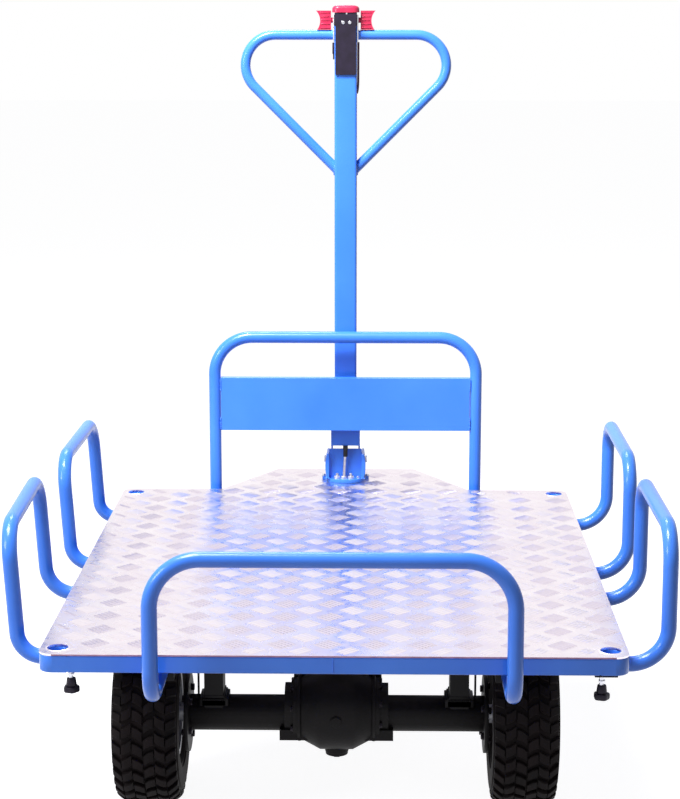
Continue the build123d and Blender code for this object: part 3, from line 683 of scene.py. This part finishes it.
def makeKnobs(knob):
    knobs, nuts = bmesh.new(), bmesh.new()
    groups = {}
    for vert in frame["nodes"]["hoop_knobs"].data.vertices:
        near = [k for k in groups if (Vector(k) - vert.co.xy).length < knob["apart"]]
        groups.setdefault(near[0] if near else tuple(vert.co.xy), []).append(vert.co.copy())
    for cluster in groups.values():
        low, high = [Vector([end(p[i] for p in cluster) for i in range(3)]) for end in (min, max)]
        middle = (low + high) / 2
        height = high.z - low.z
        base = Vector((middle.x, middle.y, low.z))
        grip = height * knob["gripShare"]
        made = addDrum(knobs, (0, 0, 0), up, length=grip, **knob["grip"])
        for vert in made:
            angle = math.atan2(vert.co.y, vert.co.x)
            reach = vert.co.xy.length
            if reach > knob["plainCore"]:
                shrink = knob["lobeDepth"] * (1 - math.cos(knob["lobes"] * angle)) / 2
                vert.co.xy *= (reach - shrink) / reach
        bmesh.ops.translate(knobs, vec=base, verts=made)
        foot = base + Vector((0, 0, grip - knob["hubSink"]))
        addDrum(knobs, foot, up, length=height - grip + knob["hubSink"], **knob["hub"])
        addDrum(nuts, (base.x, base.y, high.z + knob["nutRise"]), up, **knob["nut"])
    finishPiece("handKnobs", knobs, "black_plastic", "chassis", replaced=["hoop_knobs"])
    finishPiece("weldNuts", nuts, "zinc_steel", "chassis")


makeKnobs(handKnob)
print("hand knobs done")


# Top of the tiller: domed button, rounded column, screws, lamp, plug and ribs on the wings

stopButton = {
    "corner": {"offset": 0.014, "segments": 8},
    "shoulder": {"offset": 0.0075, "segments": 6},
    "crown": 0.0022,
    "cuts": 9,
    "tolerance": 0.0001,
}
columnTube = {"corner": {"offset": 0.0055, "segments": 5}, "longEdge": 0.4}
headTrim = {
    "screwsAt": (-0.0055, 0.009),
    "screwRise": 1.041,  # above the deck
    "screwGap": 0.0002,
    "screw": {"radius": 0.0042, "length": 0.0016, "top": 0.0034, "edge": 0.0004},
    "lampAt": (0.002, 1.0605),  # across, and above the deck
    "lamp": {"radius": 0.0019, "length": 0.0012, "sides": 20},
    "plug": (0.002, -0.0245, 0.009, 0.026, 0.001),  # past the ears, inner side, half depth, under
    "leadAt": (-0.0265, 0.038),  # across, and under the ears
    "lead": {"radius": 0.0022, "length": 0.014, "sides": 16},
    "ribs": 5,
    "ribEnds": (0.0345, 0.0095, 0.0028),  # inner end, inset at the outer end, waist
    "rib": (0.0011, 0.0012, 0.002, 0.0005),  # half height, proud, sunk, edge
}


def makeButton(button):
    # a block with round corners and a rounded shoulder, its top bowed across the truck
    low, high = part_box("stop_button")
    middle, half = (low.x + high.x) / 2, (high.x - low.x) / 2
    near = button["tolerance"]
    shape = bmesh.new()
    addBlock(shape, low, high, 0)
    uprights = [e for e in shape.edges if abs(e.verts[0].co.z - e.verts[1].co.z) > near]
    bmesh.ops.bevel(shape, geom=uprights, **button["corner"], **rounding)
    rim = [e for e in shape.edges if all(v.co.z > high.z - near for v in e.verts)]
    bmesh.ops.bevel(shape, geom=rim, **button["shoulder"], **rounding)
    for cut in range(1, button["cuts"]):
        place = (low.x + (high.x - low.x) * cut / button["cuts"], 0, 0)
        everything = shape.verts[:] + shape.edges[:] + shape.faces[:]
        bmesh.ops.bisect_plane(shape, geom=everything, plane_co=place, plane_no=(1, 0, 0))
    for vert in shape.verts:
        share = (vert.co.z - low.z) / (high.z - low.z)
        vert.co.z -= button["crown"] * ((vert.co.x - middle) / half) ** 2 * share
    finishPiece("domedButton", shape, "red_plastic", "tiller", 50, replaced=["stop_button"])


def makeColumn():
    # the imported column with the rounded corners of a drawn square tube
    shape = bmesh.new()
    shape.from_mesh(frame["nodes"]["tiller_column"].data)
    bmesh.ops.remove_doubles(shape, verts=shape.verts, dist=seamReach)
    flat = math.radians(1)
    bmesh.ops.dissolve_limit(shape, angle_limit=flat, verts=shape.verts, edges=shape.edges)
    longEdges = [e for e in shape.edges if e.calc_length() > columnTube["longEdge"]]
    corners = [e for e in longEdges if e.calc_face_angle(0) > 1]
    bmesh.ops.bevel(shape, geom=corners, **columnTube["corner"], **rounding)
    finishPiece("columnTube", shape, "blue_paint", "tiller", replaced=["tiller_column"])


def makeHeadTrim(trim):
    screws, lens, plug, ribs = bmesh.new(), bmesh.new(), bmesh.new(), bmesh.new()
    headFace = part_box("control_head")[0].y
    for x in trim["screwsAt"]:
        place = (x, headFace + trim["screwGap"], deck["top"] + trim["screwRise"])
        addDrum(screws, place, rearward, **trim["screw"])
    x, rise = trim["lampAt"]
    addDrum(lens, (x, headFace, deck["top"] + rise), rearward, **trim["lamp"])
    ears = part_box("handle_ears")[0]
    proud, inner, half, lower, upper = trim["plug"]
    low = (ears.x - proud, kingpin - half, ears.z - lower)
    addBlock(plug, low, (inner, kingpin + half, ears.z - upper))
    x, below = trim["leadAt"]
    addDrum(plug, (x, kingpin, ears.z - below), up, **trim["lead"])
    low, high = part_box("throttle_wings")
    middle = (trim["ribs"] - 1) / 2
    inner, inset, depth = trim["ribEnds"]
    half, proud, sunk, edge = trim["rib"]
    for side in bothSides:
        for place in range(trim["ribs"]):
            z = low.z + (high.z - low.z) * (place + 0.5) / trim["ribs"]
            waist = depth * (1 - abs(place - middle) / middle)
            left, right = sorted((side * inner, side * (high.x - inset - waist)))
            near = (left, low.y - proud, z - half)
            addBlock(ribs, near, (right, low.y + sunk, z + half), edge)
    finishPiece("headScrews", screws, "zinc_steel", "tiller")
    finishPiece("headLamp", lens, "zinc_steel", "tiller")
    finishPiece("headPlug", plug, "black_plastic", "tiller")
    finishPiece("wingRibs", ribs, "red_plastic", "tiller")


makeButton(stopButton)
makeColumn()
makeHeadTrim(headTrim)
print("tiller head done")


# Foot of the tiller: bolts on the disc and nuts on the ends of two studs

footBolts = (  # across, forward of the kingpin, thread, and whether a stud ends in it
    (-0.019, -0.030, 0.0085, True),
    (0.0125, -0.030, 0.0085, True),
    (-0.0035, -0.030, 0.0075, False),
    (0.030, -0.024, 0.005, False),
    (-0.0505, -0.001, 0.0048, False),
    (0.0505, -0.001, 0.0048, False),
)
footStud = {"radius": 0.0035, "length": 0.006, "sides": 16, "edge": 0.0004}
studRise = 0.0065


def makeFootTrim():
    bolts = bmesh.new()
    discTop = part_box("base_disc")[1].z
    for x, y, thread, stud in footBolts:
        place = Vector((x, kingpin + y, discTop))
        addBolt(bolts, place, up, thread)
        if stud:
            addDrum(bolts, place + Vector((0, 0, studRise)), up, **footStud)
    finishPiece("footBolts", bolts, "zinc_steel", "steering")


makeFootTrim()
print("tiller foot done")


# Weld beads: a row of flattened ripples along each joint

weldBead = {"spacing": 0.0034, "flat": 0.9, "wobble": 0.12, "wobbleRate": 2.4}
postHalf = 0.0175
chassisWelds = {
    "railWidth": 0.05,
    "base": 0.033,  # the rails' underside, below the deck's top
    "upright": (0.002, 0.0045, 0.0026),  # over the base, below the top, bead
    "level": 0.0022,
    "post": (0.0008, 0.003),  # below the base, bead
    "panel": (0.0004, 0.004, 0.028, 0.0020),  # gap, from and to, bead
}
tillerWelds = {
    "loop": (0.0255, 0.012, 0.0125, 0.0024),  # across, over the loop's foot, radius, bead
    "bracket": (0.143, 0.022, 0.030, 0.0018),  # over the column's foot, from and to across, bead
    "bracketAlong": (-0.0285, 0.025),
    "cheeks": (0.0375, 0.0435),
    "cheek": 0.0020,
    "web": (0.036, 0.0205, 0.0018),  # half width, behind the kingpin, bead
}


def addBead(shape, start, end, radius):
    start, end = Vector(start), Vector(end)
    steps = max(2, int((end - start).length / weldBead["spacing"]))
    direction = (end - start).normalized()
    turn = Vector((1, 0, 0)).rotation_difference(direction).to_matrix().to_4x4()
    for step in range(steps + 1):
        made = bmesh.ops.create_icosphere(shape, subdivisions=1, radius=radius)["verts"]
        wobble = 1 + weldBead["wobble"] * math.sin(step * weldBead["wobbleRate"])
        squash = Matrix.Diagonal((weldBead["flat"], wobble, wobble, 1))
        place = Matrix.Translation(start.lerp(end, step / steps))
        bmesh.ops.transform(shape, matrix=place @ turn @ squash, verts=made)


def addRingBead(shape, centre, axis, radius, bead):
    # a bead around a round joint
    count = max(8, int(math.tau * radius / weldBead["spacing"]))
    for step in range(count):
        place = ringPlace(centre, axis, radius, math.tau * step / count)
        made = bmesh.ops.create_icosphere(shape, subdivisions=1, radius=bead)["verts"]
        bmesh.ops.translate(shape, vec=place, verts=made)


def makeChassisWelds(welds):
    shape = bmesh.new()
    width, base = welds["railWidth"], deck["top"] - welds["base"]
    inner = deck["halfWidth"] - width
    over, under, bead = welds["upright"]
    low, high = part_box("cross_members")
    for y in (low.y, low.y + width, high.y - width, high.y):
        for side in bothSides:
            x = side * inner
            addBead(shape, (x, y, base + over), (x, y, deck["top"] - under), bead)
            addBead(shape, (side * (inner - width), y, base), (x, y, base), welds["level"])
    posts, (sink, bead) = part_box("axle_posts"), welds["post"]
    z = base - sink
    for side in bothSides:
        x = side * (posts[1].x - postHalf)
        for y in (posts[0].y, posts[1].y):
            addBead(shape, (x - postHalf, y, z), (x + postHalf, y, z), bead)
    low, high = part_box("front_panel")
    gap, start, end, bead = welds["panel"]
    for side in bothSides:
        x = side * (high.x + gap)
        for y in (low.y, high.y):
            addBead(shape, (x, y, low.z + start), (x, y, low.z + end), bead)
            addBead(shape, (x, y, high.z - end), (x, y, high.z - start), bead)
    finishPiece("chassisWelds", shape, "blue_paint", "chassis", 60)


def makeTillerWelds(welds):
    shape, fork = bmesh.new(), bmesh.new()
    across, over, radius, bead = welds["loop"]
    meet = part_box("handle_loop")[0].z + over
    rise, near, far, thin = welds["bracket"]
    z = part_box("tiller_column")[0].z + rise
    for side in bothSides:
        addRingBead(shape, (side * across, kingpin, meet), (1, 0, 0), radius, bead)
        for along in welds["bracketAlong"]:
            y = kingpin + along
            addBead(shape, (side * near, y, z), (side * far, y, z), thin)
    finishPiece("tillerWelds", shape, "blue_paint", "tiller", 60)
    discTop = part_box("base_disc")[1].z
    low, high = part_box("tiller_fork")
    for side in bothSides:
        for cheek in welds["cheeks"]:
            x = side * cheek
            addBead(fork, (x, low.y, discTop), (x, high.y, discTop), welds["cheek"])
    half, behind, bead = welds["web"]
    y = kingpin - behind
    addBead(fork, (-half, y, discTop), (half, y, discTop), bead)
    finishPiece("forkWelds", fork, "blue_paint", "steering", 60)


makeChassisWelds(chassisWelds)
makeTillerWelds(tillerWelds)
print("weld beads done")


# Rear axle: flange bolts, ribs on the casing, plugs and the saddles under the posts

axleTrim = {
    "casingRise": 0.009,  # the casing's middle over the wheels' axis
    "flangeAt": 0.079,
    "flangeBolts": {"radius": 0.0505, "bolts": 8, "thread": 0.006, "turn": 0.3},
    "rimAt": 0.0655,
    "rim": {"radius": 0.0605, "length": 0.006, "sides": 48, "edge": 0.0015},
    "ribs": 10,
    "ribEnds": ((0.030, 0.066), (0.066, 0.052)),  # across, and out from the casing's middle
    "ribRadius": 0.0035,
    "plateThickness": 0.0072,
    "outerBolts": {"radius": 0.052, "bolts": 5, "thread": 0.007, "turn": 0.5},
    "innerBolts": {"radius": 0.046, "bolts": 5, "thread": 0.007, "turn": 0.2},
    "fillerBehind": 0.0735,
    "filler": {"radius": 0.011, "length": 0.006, "sides": 6, "edge": 0.001},
    "drain": {"radius": 0.009, "length": 0.005, "sides": 6, "edge": 0.0008},
    "bossRise": 0.0005,
    "boss": {"radius": 0.0208, "length": 0.014, "sides": 40, "edge": 0.0012},
}
postTrim = {
    "tubeTop": 0.033,  # over the wheels' axis
    "layers": ((0.0265, 0.0025), (0.0225, 0.0055), (0.0195, 0.0095)),  # half width and rise
    "depth": 0.012,
    "proud": 0.001,
    "edge": 0.0015,
    "weld": (0.019, 0.001, 0.003),  # half length, rise, bead
}


def makeAxleTrim(trim):
    bolts, casting = bmesh.new(), bmesh.new()
    centre = Vector((0, rearAxle.y, rearAxle.z + trim["casingRise"]))
    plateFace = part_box("brake_plates")[1].x
    for side in bothSides:
        outward = (side, 0, 0)
        flange = centre + Vector((side * trim["flangeAt"], 0, 0))
        addBoltRing(bolts, flange, outward, **trim["flangeBolts"])
        rim = centre + Vector((side * trim["rimAt"], 0, 0))
        addDrum(casting, rim, outward, **trim["rim"])
        for step in range(trim["ribs"]):
            angle = math.tau * step / trim["ribs"]
            spoke = Vector((0, math.cos(angle), math.sin(angle)))
            foot, top = [
                centre + Vector((side * across, 0, 0)) + spoke * reach
                for across, reach in trim["ribEnds"]
            ]
            addDrum(casting, foot, top - foot, trim["ribRadius"], (top - foot).length, 10)
        outer = (side * plateFace, *rearAxle.yz)
        addBoltRing(bolts, outer, outward, **trim["outerBolts"])
        inner = (side * (plateFace - trim["plateThickness"]), *rearAxle.yz)
        addBoltRing(bolts, inner, (-side, 0, 0), **trim["innerBolts"])
    filler = centre - Vector((0, trim["fillerBehind"], 0))
    addDrum(casting, filler, rearward, **trim["filler"])
    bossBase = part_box("axle_housing")[0].z
    addDrum(bolts, (0, rearAxle.y, bossBase), down, **trim["drain"])
    addDrum(casting, (0, rearAxle.y, bossBase + trim["bossRise"]), up, **trim["boss"])
    finishPiece("axleBolts", bolts, "zinc_steel", "chassis", finish=finishes["darkBolts"])
    finishPiece("casingRibs", casting, "cast_casing", "chassis")


def makePostTrim(trim):
    # each post stands on a saddle that is welded over the axle tube
    saddles = bmesh.new()
    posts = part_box("axle_posts")
    top = rearAxle.z + trim["tubeTop"]
    back, front = posts[0].y - trim["proud"], posts[1].y + trim["proud"]
    half, rise, bead = trim["weld"]
    z = top + rise
    for side in bothSides:
        x = side * (posts[1].x - postHalf)
        for reach, height in trim["layers"]:
            low = (x - reach, back, top - trim["depth"])
            addBlock(saddles, low, (x + reach, front, top + height), trim["edge"])
        for y in (posts[0].y, posts[1].y):
            addBead(saddles, (x - half, y, z), (x + half, y, z), bead)
    finishPiece("postSaddles", saddles, "black_paint", "chassis")


makeAxleTrim(axleTrim)
makePostTrim(postTrim)
print("rear axle done")


# Motor, battery box and controller: cooling ribs, lid, latches, vents, bolts and cable glands

motorTrim = {
    "ribs": (7, 0.035, 0.017, 0.0035),  # count, first, pitch, proud
    "rib": {"length": 0.004, "sides": 64, "edge": 0.001},
    "bandsAt": (0.002, 0.172),
    "bandProud": 0.005,
    "band": {"length": 0.014, "sides": 64, "edge": 0.002},
    "endBoltsAt": 0.186,
    "endBoltsInset": 0.006,
    "endBolts": {"bolts": 6, "thread": 0.006},
    "foot": (0.03, 0.05, 0.12, 0.016, 0.004, 0.003),  # half width, from, to, drop, sunk, edge
    "footBolt": (0.016, 0.085, 0.007),  # across, along, thread
}
batteryTrim = {
    "lid": (0.0025, 0.0002, 0.045, 0.036),  # proud, proud on the right, from and to below the top
    "latch": (0.045, 0.011, 0.006, 0.058, 0.024),  # inset, half width, proud, from and to below
    "pinBelow": 0.030,
    "pin": {"radius": 0.003, "length": 0.002, "sides": 16},
    "vents": (6, 0.03, 0.011),  # count, first, pitch
    "vent": (0.035, 0.002, 0.005, 0.0008),  # half length, proud, height, edge
    "sunk": 0.001,
    "edge": 0.001,
}
controllerTrim = {
    "boltInset": 0.008,
    "boltBelow": 0.045,
    "bolt": 0.005,
    "glands": 4,
    "glandBelow": 0.055,
    "nut": {"radius": 0.008, "length": 0.012, "sides": 6, "edge": 0.0008},
    "sleeve": {"radius": 0.0062, "length": 0.006, "sides": 24, "edge": 0.0008},
}


def makeMotorTrim(trim):
    ribs, bolts = bmesh.new(), bmesh.new()
    low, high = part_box("drive_motor")
    z = (low.z + high.z) / 2
    radius = (high.z - low.z) / 2
    count, first, pitch, proud = trim["ribs"]
    for place in range(count):
        start = (0, low.y + first + place * pitch, z)
        addDrum(ribs, start, forward, radius + proud, **trim["rib"])
    for along in trim["bandsAt"]:
        start = (0, low.y + along, z)
        addDrum(ribs, start, forward, radius + trim["bandProud"], **trim["band"])
    end = (0, low.y + trim["endBoltsAt"], z)
    inset = trim["endBoltsInset"]
    addBoltRing(bolts, end, forward, radius - inset, **trim["endBolts"])
    half, start, stop, drop, sunk, edge = trim["foot"]
    base = z - radius - drop
    top = (half, low.y + stop, z - radius + sunk)
    addBlock(ribs, (-half, low.y + start, base), top, edge)
    across, along, thread = trim["footBolt"]
    for side in bothSides:
        addBolt(bolts, (side * across, low.y + along, base), down, thread)
    finishPiece("motorRibs", ribs, "motor_enamel", "chassis")
    finishPiece("motorBolts", bolts, "zinc_steel", "chassis")


def makeBatteryTrim(trim):
    lid, fittings = bmesh.new(), bmesh.new()
    low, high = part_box("battery_box")
    proud, right, lower, upper = trim["lid"]
    near = (low.x - proud, low.y - proud, high.z - lower)
    addBlock(lid, near, (high.x + right, high.y + proud, high.z - upper), trim["edge"])
    middle = (low.y + high.y) / 2
    for side, x in ((-1, low.x), (1, high.x)):
        inner = x - side * trim["sunk"]
        inset, half, proud, lower, upper = trim["latch"]
        face = x + side * proud
        left, right = sorted((inner, face))
        for y in (low.y + inset, high.y - inset):
            near = (left, y - half, high.z - lower)
            addBlock(fittings, near, (right, y + half, high.z - upper), trim["edge"])
            addDrum(fittings, (face, y, high.z - trim["pinBelow"]), (side, 0, 0), **trim["pin"])
        count, first, pitch = trim["vents"]
        half, proud, height, edge = trim["vent"]
        left, right = sorted((inner, x + side * proud))
        for place in range(count):
            z = low.z + first + place * pitch
            addBlock(lid, (left, middle - half, z), (right, middle + half, z + height), edge)
    finishPiece("batteryLid", lid, "black_paint", "chassis")
    finishPiece("batteryLatches", fittings, "zinc_steel", "chassis")


def makeControllerTrim(trim):
    bolts, glands = bmesh.new(), bmesh.new()
    low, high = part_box("controller_box")
    inset = trim["boltInset"]
    z = high.z - trim["boltBelow"]
    for x in (low.x + inset, high.x - inset):
        for y, outward in ((low.y, rearward), (high.y, forward)):
            addBolt(bolts, (x, y, z), outward, trim["bolt"])
    nut, sleeve = trim["nut"], trim["sleeve"]
    z = high.z - trim["glandBelow"]
    for place in range(trim["glands"]):
        x = low.x + (high.x - low.x) * (place + 0.5) / trim["glands"]
        addDrum(glands, (x, low.y, z), rearward, **nut)
        addDrum(glands, (x, low.y - nut["length"], z), rearward, **sleeve)
    finishPiece("controllerBolts", bolts, "zinc_steel", "chassis")
    finishPiece("controllerGlands", glands, "black_plastic", "chassis")


makeMotorTrim(motorTrim)
makeBatteryTrim(batteryTrim)
makeControllerTrim(controllerTrim)
print("drive and battery done")


# Wheels: bolts through each disc, a valve and four drain holes drawn as black discs of painted shade

wheelTrim = {
    "discFace": 0.020,  # out from the rim's middle
    "bolts": {"radius": 0.050, "bolts": 5, "thread": 0.009, "turn": 0.3},
    "valveAt": 0.0655,
    "stem": {"radius": 0.0042, "length": 0.016, "sides": 20, "edge": 0.0006},
    "cap": {"radius": 0.0032, "length": 0.012, "sides": 20, "edge": 0.0006},
    "holes": 4,
    "holesAt": 0.062,
    "holesTurn": 0.75,
    "hole": {"radius": 0.0072, "length": 0.0009, "sides": 24, "edge": 0.0002},
}


def makeWheelTrim(end, side):
    bolts, holes, valve = bmesh.new(), bmesh.new(), bmesh.new()
    low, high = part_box(f"{end}_{side}_rim")
    out = -1 if side == "left" else 1
    outward = (out, 0, 0)
    face = (low + high) / 2 + Vector((out * wheelTrim["discFace"], 0, 0))
    addBoltRing(bolts, face, outward, **wheelTrim["bolts"])
    stem, away = wheelTrim["stem"], wheelTrim["valveAt"]
    addDrum(valve, face + Vector((0, away, 0)), outward, **stem)
    addDrum(valve, face + Vector((out * stem["length"], away, 0)), outward, **wheelTrim["cap"])
    # black discs on the rim's face: painted shade where the drain holes are
    for step in range(wheelTrim["holes"]):
        angle = math.tau * step / wheelTrim["holes"] + wheelTrim["holesTurn"]
        spoke = Vector((0, math.cos(angle), math.sin(angle)))
        addDrum(holes, face + spoke * wheelTrim["holesAt"], outward, **wheelTrim["hole"])
    name = f"{end}{side.capitalize()}"
    body = f"{end}_{side}_wheel"
    finishPiece(f"{name}WheelBolts", bolts, "zinc_steel", body)
    finishPiece(f"{name}Valve", valve, "black_rubber", body)
    # the drain holes' painted shade, as thin black discs
    finishPiece(f"{name}DrainHoles", holes, "black_rubber", body)


for end, side in wheels:
    makeWheelTrim(end, side)
print("wheel trim done")


# Frame: the rear rail's seam, the stake sockets' collars and the end rails' corner joints

railSeam = {"half": 0.0005, "proud": 0.0008, "sunk": 0.001, "clear": 0.001, "edge": 0.0003}
cornerJoint = {"half": 0.004, "proud": 0.0002, "sunk": 0.002, "under": 0.002, "over": 0.0015}


def makeRailSeam(half, proud, sunk, clear, edge):
    seam = bmesh.new()
    low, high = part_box("end_rails")
    near = (-half, low.y - proud, low.z + clear)
    addBlock(seam, near, (half, low.y + sunk, high.z - clear), edge)
    finishPiece("railSeam", seam, "blue_paint", "chassis")


def makeCornerJoints(half, proud, sunk, under, over):
    # ground flush, as a narrow patch over each seam
    joints = bmesh.new()
    low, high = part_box("end_rails")
    for y, outward in ((low.y, -1), (high.y, 1)):
        near, far = sorted((y + outward * proud, y - outward * sunk))
        for side in bothSides:
            x = side * high.x
            addBlock(joints, (x - half, near, low.z + under), (x + half, far, high.z - over), 0)
    finishPiece("cornerJoints", joints, "blue_paint", "chassis")


def makeSocketCollars(socket):
    collars = bmesh.new()
    count = socket["segments"]
    for place in socketPlaces:
        ring = bmesh.new()
        outer, inner = [
            bmesh.ops.create_circle(ring, segments=count, radius=socket[edge])["verts"]
            for edge in ("lip", "hole")
        ]
        lift = Vector((0, 0, socket["rise"]))
        upper = [ring.verts.new(vert.co + lift) for vert in inner]
        for step in range(count):
            following = (step + 1) % count
            ring.faces.new((outer[step], outer[following], upper[following], upper[step]))
            ring.faces.new((upper[step], upper[following], inner[following], inner[step]))
        at = Matrix.Translation((place.x, place.y, deck["top"]))
        stamp(collars, toMesh(ring, "socketCollar"), at)
    finishPiece("socketCollars", collars, "tread_plate", "chassis")


makeRailSeam(**railSeam)
makeSocketCollars(stakeSocket)
makeCornerJoints(**cornerJoint)
print("frame trim done")


# Floor, light and world: white to the camera and in reflections, with the truck's own shadow

studio = {"floorColour": "#9a9a9e", "floorGlow": 0.93, "ambient": 0.17, "floorSize": 30}
lamps = {
    "overheadSoftbox": {"place": (-1.0, -0.8, 3.1), "aim": (0, 0, 0.4), "size": 1.3, "power": 155},
    "leftSoftbox": {"place": (-3.2, -2.0, 1.9), "aim": (0, 0, 0.6), "size": 1.2, "power": 62},
    "frontSoftbox": {"place": (-0.6, 2.6, 4.2), "aim": (0, 0.6, 0.6), "size": 1.2, "power": 60},
}
tillerSpot = {  # reaches the tiller and the panel but not the rear rail
    "place": (-0.9, -1.0, 3.9),
    "aim": (0, 0.6, 0.95),
    "cone": 27,
    "edgeBlend": 0.4,
    "radius": 0.22,
    "power": 530,
}
floorShape = bmesh.new()
bmesh.ops.create_grid(floorShape, x_segments=1, y_segments=1, size=studio["floorSize"])
floor = bpy.data.objects.new("floor", toMesh(floorShape, "floor"))
bpy.context.collection.objects.link(floor)
floorFinish, floorTree, floorShader = newFinish(
    "whitePaperFloor", studio["floorColour"], {"Roughness": 0.9, "Specular IOR Level": 0.0}
)
floor.data.materials.append(floorFinish)


def seenDirectly(tree):  # 1 for camera and glossy rays, otherwise 0
    rays = addNode(tree, "ShaderNodeLightPath")
    return addNode(
        tree,
        "ShaderNodeMath",
        {"operation": "MAXIMUM"},
        {0: rays.outputs["Is Camera Ray"], 1: rays.outputs["Is Glossy Ray"]},
    )


seen = seenDirectly(floorTree).outputs["Value"]
glow = {"operation": "MULTIPLY", 1: studio["floorGlow"]}
floorGlow = addNode(floorTree, "ShaderNodeMath", glow, {0: seen})
floorShader.inputs["Emission Color"].default_value = (1, 1, 1, 1)
floorTree.links.new(floorGlow.outputs["Value"], floorShader.inputs["Emission Strength"])

world = bpy.data.worlds.new("studioWorld")
bpy.context.scene.world = world
world.use_nodes = True
worldTree = world.node_tree
background = worldTree.nodes["Background"]
background.inputs["Color"].default_value = (1, 1, 1, 1)
strength = addNode(
    worldTree,
    "ShaderNodeMapRange",
    {"To Min": studio["ambient"], "To Max": 1.0},
    {"Value": seenDirectly(worldTree).outputs["Value"]},
)
worldTree.links.new(strength.outputs["Result"], background.inputs["Strength"])

# The bright plate shows the white room, so that no lamp burns out in it from any side
mirrorPlate = bpy.data.collections.new("mirrorPlate")
for name in ("deck_plate", "tongue_tread", "treadBars"):
    mirrorPlate.objects.link(bpy.data.objects[name])
for link in mirrorPlate.collection_objects:
    link.light_linking.link_state = "EXCLUDE"


def addLamp(name, kind, lamp):
    light = bpy.data.lights.new(name, kind)
    light.energy = lamp["power"]
    holder = bpy.data.objects.new(name, light)
    holder.location = lamp["place"]
    aim = Vector(lamp["aim"]) - Vector(lamp["place"])
    holder.rotation_euler = aim.to_track_quat("-Z", "Y").to_euler()
    holder.light_linking.receiver_collection = mirrorPlate
    bpy.context.collection.objects.link(holder)
    return light


for name, lamp in lamps.items():
    addLamp(name, "AREA", lamp).size = lamp["size"]
spot = addLamp("tillerSpot", "SPOT", tillerSpot)
spot.spot_size = math.radians(tillerSpot["cone"])
spot.spot_blend = tillerSpot["edgeBlend"]
spot.shadow_soft_size = tillerSpot["radius"]
bpy.context.scene.view_settings.view_transform = "Standard"
print("studio done")
